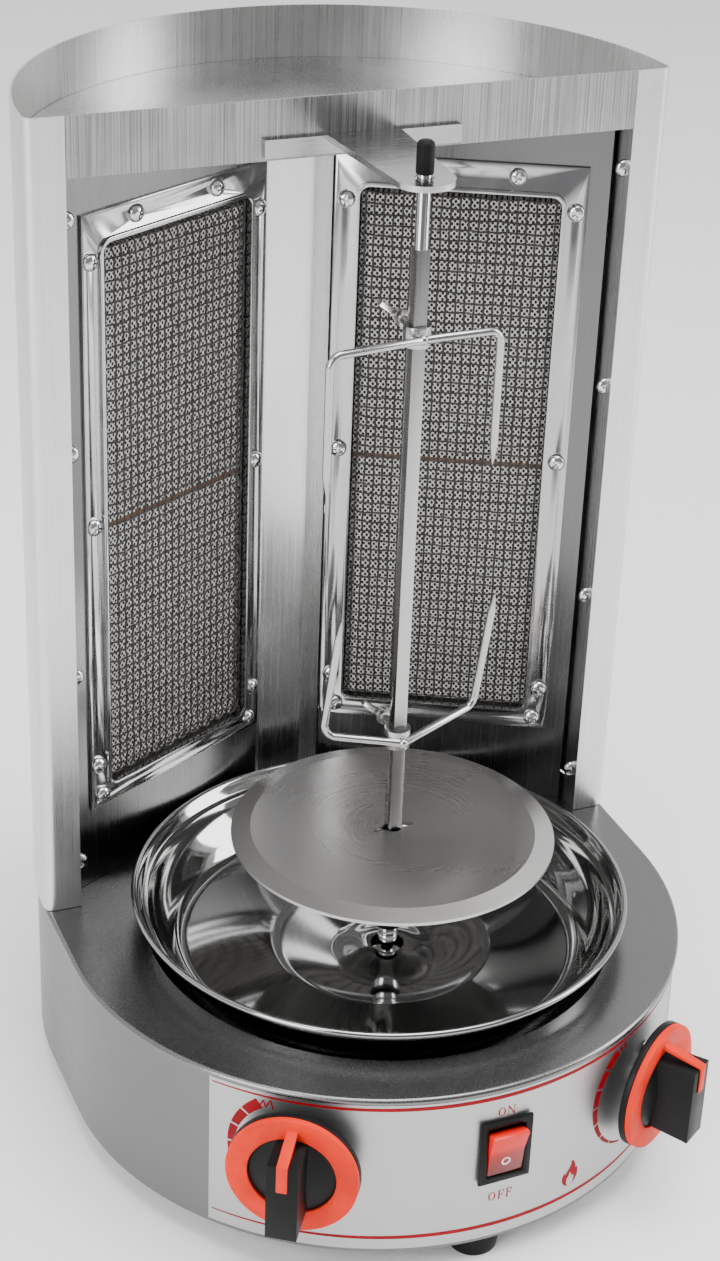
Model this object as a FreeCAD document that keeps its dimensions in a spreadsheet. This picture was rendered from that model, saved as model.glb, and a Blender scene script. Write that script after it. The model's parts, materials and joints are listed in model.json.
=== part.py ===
import FreeCAD, Part
import math
import os
import Sketcher

# Vertical rotisserie broiler with two upright gas burners.
# Lengths are in mm and angles in degrees.  Z is up, the front faces -Y, and
# z = 0 is the table.  Everything is laid out from the spit's axis, which
# stands at x = 0 and a little in front of the middle of the footprint.

Vector = FreeCAD.Vector

document = FreeCAD.newDocument("broiler")
sheet = document.addObject("Spreadsheet::Sheet", "sizes")

SIZES = {
    # base
    "base_radius": 147, "base_rear_centre": 67, "base_front_centre": 21.6,
    "skirt_wall": 1.2, "foot_height": 14, "foot_radius": 12.8, "foot_taper": 1.8,
    "foot_recess": 2.5, "front_foot_place": 110, "rear_foot_x": 98, "rear_foot_y": 150,
    "skirt_height": 82.6, "seam_gap": 0.3, "bottom_inset": 0.4,
    # deck
    "deck_overhang": 1, "deck_lip_height": 2.4, "deck_edge_round": 1.9, "deck_sheet": 1.3,
    "deck_flange_depth": 7, "recess_depth": 12, "recess_radius": 113, "recess_floor_radius": 101,
    # drip pan
    "pan_centre": 12, "pan_radius": 117.6, "pan_bead": 1.6, "pan_floor_radius": 93, "pan_height": 30.6,
    "pan_sheet": 0.8, "pan_step": 2.2, "pan_neck_radius": 8, "pan_neck_height": 3, "pan_rest_gap": 0.2,
    # rear shell and tray
    "shell_radius": 148.5, "shell_sheet": 1, "shell_height": 385.3, "post_inner": 131, "post_bend": 5,
    "post_flange": 12, "rail_height": 22.8, "tray_drop": 25, "tray_sheet": 1.2, "tray_gap": 0.3,
    "vent_length": 46, "vent_width": 5, "vent_pitch": 13, "vent_low": 120, "vent_count": 5,
    # spit
    "bar_side": 6, "neck_length": 30.2, "rod_radius": 3, "cap_radius": 3.75, "cap_height": 14,
    "cap_grip": 4, "disc_radius": 75, "disc_top": 157, "disc_sheet": 1.5, "disc_bevel_width": 9,
    "disc_bevel_drop": 2, "hub_radius": 6, "bar_seat": 6, "ear_length": 20, "ear_width": 3,
    # drive
    "shaft_radius": 3, "shaft_bottom": 58, "tip_side": 4.2, "tip_height": 12, "running_gap": 0.05,
    "coupling_radius": 4.6, "coupling_bottom": 92.4, "coupling_height": 10.8, "coupling_groove": 0.6,
    "washer_radius": 6.4, "washer_thickness": 1.3, "stack_gap": 0.1, "socket_gap": 0.1,
    "motor_radius": 30, "motor_height": 30, "motor_plate_radius": 39, "motor_plate_sheet": 1.2,
    "bush_radius": 6,
    # bracket on the rail
    "bracket_width": 90.4, "bracket_drop": 8, "bracket_sheet": 2.6, "bracket_rise": 6.4,
    "tongue_root": 17, "tongue_tip": 13, "tongue_hole_gap": 0.5,
    # forks
    "fork_rod": 1.8, "collar_ratio": 1, "collar_height": 9, "collar_gap": 0.08,
    "upper_fork_height": 400.4, "lower_fork_height": 206, "prong_point": 9,
    "upper_left_x": 44, "upper_left_y": 13, "upper_right_x": 36, "upper_right_y": 6,
    "upper_prong": 62, "lower_left_x": 32, "lower_left_y": 11, "lower_right_x": 44.5,
    "lower_right_y": 15, "lower_prong": 60, "prong_lean": 5,
    "screw_radius": 2, "screw_length": 14, "wing_span": 20, "wing_thickness": 2.4, "wing_height": 6.5,
    "wing_lift": 1.5, "wing_turn": 35,
    # burners
    "burner_angle": 27.2, "burner_x": 68.5, "burner_y": 109.3, "frame_half": 58, "frame_low": 141,
    "frame_top": 436, "frame_sheet": 1.2, "window_half": 46.5, "window_low": 151.5, "window_top": 421.5,
    "window_rim": 2, "window_rim_height": 1.8, "panel_sheet": 1, "panel_gap": 0.1, "panel_inner": 58.5,
    "panel_outer": 67.5, "panel_top_gap": 0.6, "tile_width": 92, "tile_height": 132, "tile_depth": 12,
    "tile_gap": 1, "mesh_depth": 1.2, "housing_depth": 38, "housing_side_gap": 0.6, "housing_sheet": 0.8,
    "screw_column": 53, "screw_low": 164, "screw_middle": 289, "screw_high": 414.5,
    "top_screw_offset": 25.3, "top_screw_height": 430, "corner_screw": 50.5, "corner_screw_height": 147,
    "screw_head": 3.6, "screw_head_height": 2.4, "screw_shank": 1.8, "screw_hole_gap": 0.3,
    "screw_reach": 7, "strip_half": 11.3, "strip_depth": 148.7, "strip_flare_x": 17, "strip_flare_y": 139.6,
    "post_screw_low": 122, "post_screw_second": 222, "post_screw_third": 333, "post_screw_top": 439,
    # gas parts
    "venturi_radius": 9, "venturi_wall": 1, "venturi_bottom": 78, "venturi_back": 22,
    "injector_radius": 5, "jet_radius": 0.6, "injector_height": 10, "pipe_radius": 4, "pipe_wall": 1, "pipe_height": 60,
    "manifold_y": 90, "feed_x": 45, "inlet_radius": 5, "inlet_length": 20,
    # controls
    "knob_angle": 34.15, "control_height": 65, "knob_radius": 29.8, "knob_standoff": 8, "knob_disc": 3,
    "ring_height": 3.2, "ring_hole": 19.8, "hub_dome": 3, "grip_reach": 18.5, "grip_length": 39,
    "grip_width": 14, "pointer_width": 5,
    "pointer_proud": 0.8, "pointer_down": 13, "stem_radius": 3, "valve_radius": 9, "valve_depth": 34,
    "valve_neck_radius": 6, "push_travel": 3, "plunger_thickness": 3, "label_sheet": 0.4, "label_end": 50.7, "label_gap": 0.1,
    "rocker_place": 1.7, "bezel_width": 25.4, "bezel_height": 34, "bezel_proud": 2, "switch_width": 21.6,
    "switch_height": 30, "switch_depth": 22, "rocker_opening_width": 18, "rocker_opening_height": 26.8,
    "rocker_width": 17.4, "rocker_half": 12.4, "rocker_tilt": 12, "rocker_depth": 5,
    "rocker_crest": 2.4, "rocker_valley": 1, "eyelet_shift": 2.9,
    "eyelet_height": 76.2, "eyelet_radius": 3.8, "eyelet_hole": 2.2, "gland_radius": 7, "gland_x": 45,
}


class Size:
    """A number together with the sheet expression that gives it."""

    def __init__(self, value, text):
        self.value = value
        self.text = text

    def __add__(self, other):
        return combine(self, "+", other)

    def __radd__(self, other):
        return combine(other, "+", self)

    def __sub__(self, other):
        return combine(self, "-", other)

    def __rsub__(self, other):
        return combine(other, "-", self)

    def __mul__(self, other):
        return combine(self, "*", other)

    def __rmul__(self, other):
        return combine(other, "*", self)

    def __truediv__(self, other):
        return combine(self, "/", other)

    def __neg__(self):
        return combine(0, "-", self)


def as_size(amount):
    if isinstance(amount, Size):
        return amount
    return Size(float(amount), repr(float(amount)))


def combine(left, sign, right):
    left = as_size(left)
    right = as_size(right)
    if sign == "+":
        value = left.value + right.value
    elif sign == "-":
        value = left.value - right.value
    elif sign == "*":
        value = left.value * right.value
    else:
        value = left.value / right.value
    return Size(value, f"({left.text} {sign} {right.text})")


def cosine(angle):
    return Size(math.cos(math.radians(angle.value)), f"cos({angle.text})")


def sine(angle):
    return Size(math.sin(math.radians(angle.value)), f"sin({angle.text})")


def root(amount):
    return Size(math.sqrt(amount.value), f"sqrt({amount.text})")


class Sizes:
    """Gives each named size of the sheet as an attribute."""

    def __getattr__(self, name):
        return Size(float(SIZES[name]), f"sizes.{name}")


s = Sizes()


def fill_sheet():
    for row, (name, value) in enumerate(SIZES.items(), start=1):
        sheet.set(f"A{row}", name)
        sheet.set(f"B{row}", str(value))
        sheet.setAlias(f"B{row}", name)
    document.recompute()


# ---- levels and places that several pieces share --------------------------------

DECK = s.foot_height + s.skirt_height + s.seam_gap + s.deck_lip_height
TOP = DECK + s.shell_height
RAIL_LOW = TOP - s.rail_height
TRAY_FLOOR = TOP - s.tray_drop
BRACKET_TOP = RAIL_LOW + s.bracket_rise
BAR_TOP = BRACKET_TOP - s.neck_length
COLLAR_RADIUS = s.bar_side * s.collar_ratio
RECESS_FLOOR = DECK - s.recess_depth
PAN_UNDERSIDE = RECESS_FLOOR + s.pan_rest_gap
SKIRT_TOP = s.foot_height + s.skirt_height
LABEL_TOP = SKIRT_TOP - s.bottom_inset
BEZEL_BACK = s.base_radius + s.label_gap + s.label_sheet + s.tray_gap
ROCKER_REACH = s.rocker_half * sine(s.rocker_tilt) + s.rocker_crest * cosine(s.rocker_tilt)
FRONT_REACH = BEZEL_BACK + s.bezel_proud + ROCKER_REACH - s.base_front_centre
INLET_SHOULDER = s.pipe_radius
BACK_REACH = s.base_rear_centre + s.base_radius + s.seam_gap + INLET_SHOULDER + s.inlet_length
SPIT_Y = (FRONT_REACH - BACK_REACH) / 2
DISC_UNDERSIDE = s.disc_top - s.disc_sheet
HUB_BOTTOM = s.coupling_bottom + s.coupling_height + s.washer_thickness + s.stack_gap * 3
SHAFT_TOP = s.coupling_bottom + s.coupling_height


# ---- small modelling helpers ------------------------------------------------------

def place(thing, x=0, y=0, z=0, turn=0, tip=0):
    """Stand a piece at a point measured from the spit's foot, tipped about X, then turned about Z."""
    spot = [as_size(x), SPIT_Y + y, as_size(z)]
    turning = FreeCAD.Rotation(Vector(0, 0, 1), as_size(turn).value)
    tipping = FreeCAD.Rotation(Vector(1, 0, 0), as_size(tip).value)
    thing.Placement = FreeCAD.Placement(Vector(*[part.value for part in spot]), turning * tipping)
    for letter, amount in zip("xyz", spot):
        thing.setExpression(f"Placement.Base.{letter}", amount.text)


def new_body(name, **where):
    body = document.addObject("PartDesign::Body", name)
    body.Label = name
    place(body, **where)
    return body


def add_sketch(body, name, role="XY_Plane", lift=0):
    plane = next(item for item in body.Origin.OriginFeatures if item.Role == role)
    sketch = body.newObject("Sketcher::SketchObject", name)
    sketch.AttachmentSupport = [(plane, "")]
    sketch.MapMode = "FlatFace"
    sketch.setExpression("AttachmentOffset.Base.z", as_size(lift).text)
    return sketch


def hold(sketch, kind, geometry, corner, amount):
    """Fix one coordinate of a sketch point with a bound distance."""
    amount = as_size(amount)
    if amount.text == "0.0":
        axis = -2 if kind == "DistanceX" else -1
        sketch.addConstraint(Sketcher.Constraint("PointOnObject", geometry, corner, axis))
        return
    number = sketch.addConstraint(Sketcher.Constraint(kind, -1, 1, geometry, corner, amount.value))
    sketch.setExpression(f"Constraints[{number}]", amount.text)


def arc_between(start, end, radius, turn):
    """The short arc from start to end; turn is 1 to bend left and -1 to bend right."""
    middle = (start + end) / 2
    chord = end - start
    height = math.sqrt(max(radius ** 2 - (chord.Length / 2) ** 2, 0))
    side = Vector(-chord.y, chord.x, 0).normalize()
    centre = middle + side * height * turn
    first, last = (start, end) if turn > 0 else (end, start)
    first_angle = math.atan2(first.y - centre.y, first.x - centre.x)
    last_angle = math.atan2(last.y - centre.y, last.x - centre.x)
    circle = Part.Circle(centre, Vector(0, 0, 1), radius)
    return Part.ArcOfCircle(circle, first_angle, last_angle)


def outline(sketch, corners):
    """A closed line through the corners: (x, y), or (x, y, radius, turn) to arrive by an arc."""
    points = [Vector(as_size(c[0]).value, as_size(c[1]).value, 0) for c in corners]
    count = len(corners)
    first = sketch.GeometryCount
    heads = []
    for index, corner in enumerate(corners):
        start = points[index - 1]
        end = points[index]
        if len(corner) == 2:
            sketch.addGeometry(Part.LineSegment(start, end), False)
            heads.append((1, 2))
        else:
            radius = as_size(corner[2])
            sketch.addGeometry(arc_between(start, end, radius.value, corner[3]), False)
            heads.append((1, 2) if corner[3] > 0 else (2, 1))
            number = sketch.addConstraint(Sketcher.Constraint("Radius", first + index, radius.value))
            sketch.setExpression(f"Constraints[{number}]", radius.text)
    for index, corner in enumerate(corners):
        following = (index + 1) % count
        end_head = heads[index][1]
        start_head = heads[following][0]
        sketch.addConstraint(
            Sketcher.Constraint("Coincident", first + index, end_head, first + following, start_head))
        hold(sketch, "DistanceX", first + index, end_head, corner[0])
        hold(sketch, "DistanceY", first + index, end_head, corner[1])


def ring(sketch, radius, x=0, y=0):
    """A full circle."""
    radius = as_size(radius)
    spot = Vector(as_size(x).value, as_size(y).value, 0)
    number = sketch.addGeometry(Part.Circle(spot, Vector(0, 0, 1), radius.value), False)
    bound = sketch.addConstraint(Sketcher.Constraint("Radius", number, radius.value))
    sketch.setExpression(f"Constraints[{bound}]", radius.text)
    hold(sketch, "DistanceX", number, 3, x)
    hold(sketch, "DistanceY", number, 3, y)


def box_outline(sketch, low_x, low_y, high_x, high_y):
    outline(sketch, [(low_x, low_y), (high_x, low_y), (high_x, high_y), (low_x, high_y)])


def rounded_box_outline(sketch, half_x, low_y, high_y, round_off):
    """A box that is symmetric about the sketch's Y axis, with round corners."""
    inner_x = half_x - round_off
    outline(sketch, [
        (inner_x, low_y), (half_x, low_y + round_off, round_off, 1),
        (half_x, high_y - round_off), (inner_x, high_y, round_off, 1),
        (-inner_x, high_y), (-half_x, high_y - round_off, round_off, 1),
        (-half_x, low_y + round_off), (-inner_x, low_y, round_off, 1)])


def obround(sketch, radius):
    """The base's plan: two half circles joined by straight sides."""
    front = s.base_front_centre
    back = s.base_rear_centre
    outline(sketch, [
        (radius, front, radius, 1), (radius, back), (0, back + radius, radius, 1),
        (-radius, back, radius, 1), (-radius, front), (0, front - radius, radius, 1)])


def feature(body, kind, name, sketch, **amounts):
    item = body.newObject(f"PartDesign::{kind}", name)
    item.Profile = sketch
    for title, amount in amounts.items():
        if isinstance(amount, (str, bool)):
            setattr(item, title, amount)
        else:
            item.setExpression(title, as_size(amount).text)
    sketch.Visibility = False
    return item


def pad(body, name, sketch, length, **more):
    return feature(body, "Pad", name, sketch, Length=length, **more)


def cut_through(body, name, sketch, length):
    """Pocket that runs the given length to both sides of its sketch together."""
    return feature(body, "Pocket", name, sketch, Length=length, SideType="Symmetric")


def turned(body, name, sketch, kind="Revolution"):
    item = body.newObject(f"PartDesign::{kind}", name)
    item.Profile = sketch
    item.ReferenceAxis = (sketch, ["V_Axis"])
    item.Angle = 360
    return item


def turned_body(name, corners, **where):
    """A piece turned about its own Z axis from (radius, height) corners."""
    body = new_body(name, **where)
    sketch = add_sketch(body, f"{name}_profile", "XZ_Plane")
    outline(sketch, corners)
    turned(body, f"{name}_turned", sketch)
    return body


def plate_body(name, corners, low, thickness, **where):
    """A flat plate lying at a height, from its plan."""
    body = new_body(name, **where)
    sketch = add_sketch(body, f"{name}_plan", "XY_Plane", low)
    outline(sketch, corners)
    pad(body, f"{name}_plate", sketch, thickness)
    return body


def group(name, shape, places):
    """Several equal pieces in one node."""
    copies = []
    for spot in places:
        copy = shape.copy()
        copy.Placement = spot
        copies.append(copy)
    item = document.addObject("Part::Feature", name)
    item.Label = name
    item.Shape = Part.makeCompound(copies)
    item.Placement = FreeCAD.Placement(Vector(0, SPIT_Y.value, 0), FreeCAD.Rotation())
    return item


def spot(x, y, z, turn=0, tip=0):
    """A placement for one piece of a group."""
    turning = FreeCAD.Rotation(Vector(0, 0, 1), as_size(turn).value)
    tipping = FreeCAD.Rotation(Vector(1, 0, 0), as_size(tip).value)
    point = Vector(as_size(x).value, as_size(y).value, as_size(z).value)
    return FreeCAD.Placement(point, turning * tipping)


def turned_shape(corners):
    """A solid turned about Z from plain (radius, height) pairs."""
    points = [Vector(radius, 0, height) for radius, height in corners]
    face = Part.Face(Part.makePolygon(points + points[:1]))
    return face.revolve(Vector(0, 0, 0), Vector(0, 0, 1), 360)


def on_front(angle, out):
    """A point on the front arc's own radius, at an angle from straight ahead."""
    return sine(angle) * out, s.base_front_centre - cosine(angle) * out


def radial_hole(body, name, angle, height, radius):
    """A round hole through the curved front wall."""
    plane = add_turned_sketch(body, name, angle)
    ring(plane, radius, 0, height)
    return cut_through(body, f"{name}_cut", plane, s.base_radius / 4)


def add_turned_sketch(body, name, angle):
    """An upright sketch that faces outward at an angle, standing on the front wall."""
    sketch = add_sketch(body, name, "XZ_Plane")
    x, y = on_front(angle, s.base_radius)
    sketch.AttachmentOffset = FreeCAD.Placement(
        Vector(x.value, 0, -y.value), FreeCAD.Rotation(Vector(0, 1, 0), as_size(angle).value))
    sketch.setExpression("AttachmentOffset.Base.x", x.text)
    sketch.setExpression("AttachmentOffset.Base.z", (-y).text)
    return sketch


# ---- base ---------------------------------------------------------------------------

def make_base():
    skirt = new_body("base_skirt")
    sketch = add_sketch(skirt, "skirt_plan", lift=s.foot_height)
    obround(sketch, s.base_radius)
    obround(sketch, s.base_radius - s.skirt_wall)
    pad(skirt, "skirt_wall_pad", sketch, s.skirt_height)
    cut_front_wall(skirt)
    back = add_sketch(skirt, "rear_holes", "XZ_Plane", -(s.base_rear_centre + s.base_radius))
    ring(back, s.inlet_radius + s.screw_hole_gap, 0, s.pipe_height)
    ring(back, s.gland_radius + s.screw_hole_gap, -s.gland_x, s.pipe_height)
    cut_through(skirt, "rear_holes_cut", back, s.base_radius / 2)

    floor = new_body("base_bottom_plate")
    plan = add_sketch(floor, "bottom_plan", lift=s.foot_height + s.bottom_inset)
    obround(plan, s.base_radius - s.skirt_wall - s.seam_gap)
    for x, y in foot_places():
        ring(plan, s.screw_radius + s.screw_hole_gap, x, y)
    pad(floor, "bottom_plate_pad", plan, s.skirt_wall)


def cut_front_wall(body):
    """Holes for the valve necks, the eyelets and the switch in a curved front wall."""
    for side in (-1, 1):
        neck = s.valve_neck_radius + s.screw_hole_gap
        radial_hole(body, f"{body.Name}_neck_{side + 1}", s.knob_angle * side, s.control_height, neck)
        radial_hole(body, f"{body.Name}_eyelet_{side + 1}", s.knob_angle * side + s.eyelet_shift,
                    s.eyelet_height, s.eyelet_hole + s.screw_hole_gap)
    window = add_turned_sketch(body, f"{body.Name}_switch", s.rocker_place)
    half = s.switch_width / 2 + s.screw_hole_gap
    tall = s.switch_height / 2 + s.screw_hole_gap
    box_outline(window, -half, s.control_height - tall, half, s.control_height + tall)
    cut_through(body, f"{body.Name}_switch_cut", window, s.base_radius / 4)


def foot_places():
    return [(as_size(0), s.base_front_centre * 0 - s.front_foot_place),
            (s.rear_foot_x, s.rear_foot_y), (-s.rear_foot_x, s.rear_foot_y)]


def make_feet():
    wide = s.foot_radius.value
    narrow = (s.foot_radius - s.foot_taper).value
    top = s.foot_height.value
    recess = s.foot_recess.value
    shank = s.screw_radius.value
    hole = (s.screw_radius + s.screw_hole_gap).value
    head = s.screw_head.value
    gap = s.stack_gap.value
    foot = turned_shape([
        (hole, recess), (head + recess / 2, recess), (head + recess / 2, 0), (narrow, 0),
        (wide, top - recess), (wide, top), (hole, top)])
    plate_top = (s.foot_height + s.bottom_inset + s.skirt_wall).value
    screw = turned_shape([
        (0, recess - gap - s.screw_head_height.value / 2), (head, recess - gap - s.screw_head_height.value / 2),
        (head, recess - gap), (shank, recess - gap), (shank, plate_top + s.screw_head_height.value),
        (0, plate_top + s.screw_head_height.value)])
    places = [spot(x, y, 0) for x, y in foot_places()]
    group("rubber_feet", foot, places)
    group("foot_screws", screw, places)


def make_deck():
    deck = new_body("deck_plate")
    lip_low = DECK - s.deck_lip_height
    outer = s.base_radius + s.deck_overhang
    plan = add_sketch(deck, "deck_plan", lift=lip_low)
    obround(plan, outer)
    pad(deck, "deck_pad", plan, s.deck_lip_height)
    edges = level_edges(deck, DECK.value)
    slab = deck.Tip
    rounding = deck.newObject("PartDesign::Fillet", "deck_edge")
    rounding.Base = (slab, edges)
    rounding.setExpression("Radius", s.deck_edge_round.text)
    inside = s.base_radius - s.skirt_wall - s.seam_gap
    under = add_sketch(deck, "deck_under_plan", lift=lip_low)
    obround(under, inside - s.skirt_wall)
    pocket = feature(deck, "Pocket", "deck_hollow", under, Length=s.deck_lip_height - s.deck_sheet)
    pocket.Reversed = True
    flange = add_sketch(deck, "deck_flange_plan", lift=lip_low - s.deck_flange_depth)
    obround(flange, inside)
    obround(flange, inside - s.skirt_wall)
    pad(deck, "deck_flange", flange, s.deck_flange_depth + s.deck_sheet / 2)
    mouth = add_sketch(deck, "recess_mouth", lift=DECK)
    ring(mouth, s.recess_radius, 0, s.pan_centre)
    for side in (-1, 1):
        x, y = burner_point(side, 0, s.venturi_back)
        ring(mouth, s.venturi_radius + s.screw_hole_gap, x, y)
    cut_through(deck, "recess_mouth_cut", mouth, s.recess_depth)
    return deck


def make_recess(deck):
    """The dished seat of the drip pan, turned about the pan's own centre."""
    sheet_thickness = s.deck_sheet
    low = RECESS_FLOOR
    dish = add_sketch(deck, "recess_section", "XZ_Plane", -s.pan_centre)
    radius = s.recess_radius + s.bottom_inset
    outline(dish, [
        (0, low), (s.recess_floor_radius, low), (radius - s.deck_lip_height, DECK), (radius, DECK),
        (radius, DECK - sheet_thickness), (s.recess_floor_radius + sheet_thickness, low - sheet_thickness),
        (0, low - sheet_thickness)])
    turned(deck, "recess_dish", dish)
    hole = add_sketch(deck, "shaft_hole", lift=low)
    ring(hole, s.bush_radius + s.screw_hole_gap)
    for x, y in motor_screw_places():
        ring(hole, s.screw_shank + s.screw_hole_gap, x, y)
    cut_through(deck, "shaft_hole_cut", hole, s.recess_depth)


def level_edges(body, height):
    """Names of the edges that lie flat at a height."""
    document.recompute()
    names = []
    for number, edge in enumerate(body.Shape.Edges, start=1):
        bounds = edge.BoundBox
        if abs(bounds.ZMin - height) < 1e-4 and abs(bounds.ZMax - height) < 1e-4:
            names.append(f"Edge{number}")
    return names


def make_label():
    label = new_body("control_label")
    low = s.foot_height + s.bottom_inset * 5
    inner = s.base_radius + s.label_gap
    outer = inner + s.label_sheet
    plan = add_sketch(label, "label_plan", lift=low)
    angle = s.label_end
    front = s.base_front_centre
    right_in = (sine(angle) * inner, front - cosine(angle) * inner)
    right_out = (sine(angle) * outer, front - cosine(angle) * outer)
    left_in = (-right_in[0], right_in[1])
    left_out = (-right_out[0], right_out[1])
    outline(plan, [
        left_out, (0, front - outer, outer, 1), (*right_out, outer, 1), right_in,
        (0, front - inner, inner, -1), (*left_in, inner, -1)])
    pad(label, "label_pad", plan, LABEL_TOP - low)
    cut_front_wall(label)


# ---- rear shell, tray and reflectors -------------------------------------------------

def make_shell():
    shell = new_body("rear_shell")
    outer = s.shell_radius
    inner = outer - s.shell_sheet
    back = s.base_rear_centre
    bend = s.post_bend
    gap = s.tray_gap
    face = back - s.shell_sheet
    wall = add_sketch(shell, "shell_plan", lift=DECK + gap)
    inner_bend = bend - s.shell_sheet
    outline(wall, [
        (outer - bend, face), (outer, face + bend, bend, 1),
        (0, back + outer, outer, 1), (-outer, face + bend, outer, 1), (-outer + bend, face, bend, 1),
        (-s.post_inner, face), (-s.post_inner, back),
        (-outer + bend, back), (-inner, face + bend, inner_bend, -1), (0, back + inner, inner, -1),
        (inner, face + bend, inner, -1), (outer - bend, back, inner_bend, -1), (s.post_inner, back),
        (s.post_inner, face)])
    pad(shell, "shell_wall", wall, s.shell_height - gap)
    flange = add_sketch(shell, "post_flange_plan", lift=DECK + gap)
    for side in (-1, 1):
        near = s.post_inner * side
        far = (s.post_inner + s.shell_sheet) * side
        low, high = (near, far) if side > 0 else (far, near)
        box_outline(flange, low, face, high, face + s.post_flange)
    pad(shell, "post_flanges", flange, TRAY_FLOOR - DECK - s.tray_sheet - gap * 3)
    holes = add_sketch(shell, "post_screw_holes", "YZ_Plane")
    for height in post_screw_heights():
        ring(holes, s.screw_shank + s.screw_hole_gap, face + s.post_flange / 2, height)
    cut_through(shell, "post_screw_cut", holes, (s.post_inner + s.post_bend) * 2)
    vents = add_sketch(shell, "vent_slots", "XZ_Plane", -(back + outer))
    for number in range(int(s.vent_count.value)):
        height = DECK + s.vent_low + s.vent_pitch * number
        for centre in (-s.vent_length, s.vent_length):
            slot(vents, centre, height, s.vent_length, s.vent_width)
    cut_through(shell, "vent_cut", vents, outer)


def slot(sketch, x, y, length, width):
    """A level slot with round ends."""
    bend = width / 2
    half = length / 2 - bend
    outline(sketch, [
        (x - half, y - bend, bend, 1), (x + half, y - bend), (x + half + bend, y, bend, 1),
        (x + half, y + bend, bend, 1), (x - half, y + bend), (x - half - bend, y, bend, 1)])


def post_screw_heights():
    return [s.post_screw_low, s.post_screw_second, s.post_screw_third, s.post_screw_top]


def make_tray():
    tray = new_body("top_tray")
    gap = s.tray_gap
    back = s.base_rear_centre
    radius = s.shell_radius - s.shell_sheet - gap
    side = radius - s.post_bend
    face = back - s.shell_sheet
    plan = add_sketch(tray, "tray_plan", lift=TRAY_FLOOR - s.tray_sheet)
    end = s.post_inner - gap
    outline(plan, [
        (-end, face + s.tray_sheet / 2), (end, face + s.tray_sheet / 2), (end, back + gap),
        (side, back + gap), (radius, back + s.post_bend), (0, back + radius, radius, 1),
        (-radius, back + s.post_bend, radius, 1), (-side, back + gap), (-end, back + gap)])
    pad(tray, "tray_floor", plan, s.tray_sheet)
    rail = add_sketch(tray, "rail_plan", lift=TRAY_FLOOR - s.tray_sheet)
    box_outline(rail, -end, face, end, face + s.tray_sheet)
    pad(tray, "tray_rail", rail, TOP - TRAY_FLOOR + s.tray_sheet)


def make_bracket():
    bracket = new_body("spit_bracket")
    face = s.base_rear_centre - s.shell_sheet
    gap = s.stack_gap
    flange = add_sketch(bracket, "flange_plan", lift=BRACKET_TOP - s.bracket_drop)
    half = s.bracket_width / 2
    box_outline(flange, -half, face - gap - s.bracket_sheet, half, face - gap)
    pad(bracket, "bracket_flange", flange, s.bracket_drop)
    tongue = add_sketch(bracket, "tongue_plan", lift=BRACKET_TOP - s.bracket_sheet)
    tip = s.tongue_tip
    outline(tongue, [
        (s.tongue_root, face - gap - s.bracket_sheet / 2), (-s.tongue_root, face - gap - s.bracket_sheet / 2),
        (-tip, 0), (0, -tip, tip, 1), (tip, 0, tip, 1)])
    pad(bracket, "bracket_tongue", tongue, s.bracket_sheet)
    hole = add_sketch(bracket, "tongue_hole", lift=BRACKET_TOP)
    ring(hole, s.cap_radius + s.tongue_hole_gap)
    cut_through(bracket, "tongue_hole_cut", hole, s.bracket_sheet * 3)


def burner_point(side, along, back):
    """A point of a burner's plane: along it from its centre line, and behind its front face."""
    x = s.burner_x + cosine(s.burner_angle) * along + sine(s.burner_angle) * back
    y = s.burner_y - sine(s.burner_angle) * along + cosine(s.burner_angle) * back
    return x * side, y


def burner_body(name, side):
    """A body whose X runs along the burner's face and whose Y runs backward."""
    x, y = burner_point(side, 0, 0)
    return new_body(name, x=x, y=y, turn=-s.burner_angle * side)


def upright_plate(body, title, front, thickness, draw):
    """Pad an upright outline from a depth toward the front."""
    sketch = add_sketch(body, f"{body.Name}_{title}_outline", "XZ_Plane", -(front + thickness))
    draw(sketch)
    return pad(body, f"{body.Name}_{title}", sketch, thickness)


def burner_screw_places():
    places = []
    for height in (s.screw_low, s.screw_middle, s.screw_high):
        places += [(-s.screw_column, height), (s.screw_column, height)]
    for side in (-1, 1):
        places += [(s.top_screw_offset * side, s.top_screw_height)]
        places += [(s.corner_screw * side, s.corner_screw_height)]
    return places


def screw_holes(sketch):
    for x, z in burner_screw_places():
        ring(sketch, s.screw_shank + s.screw_hole_gap, x, z)


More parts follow.
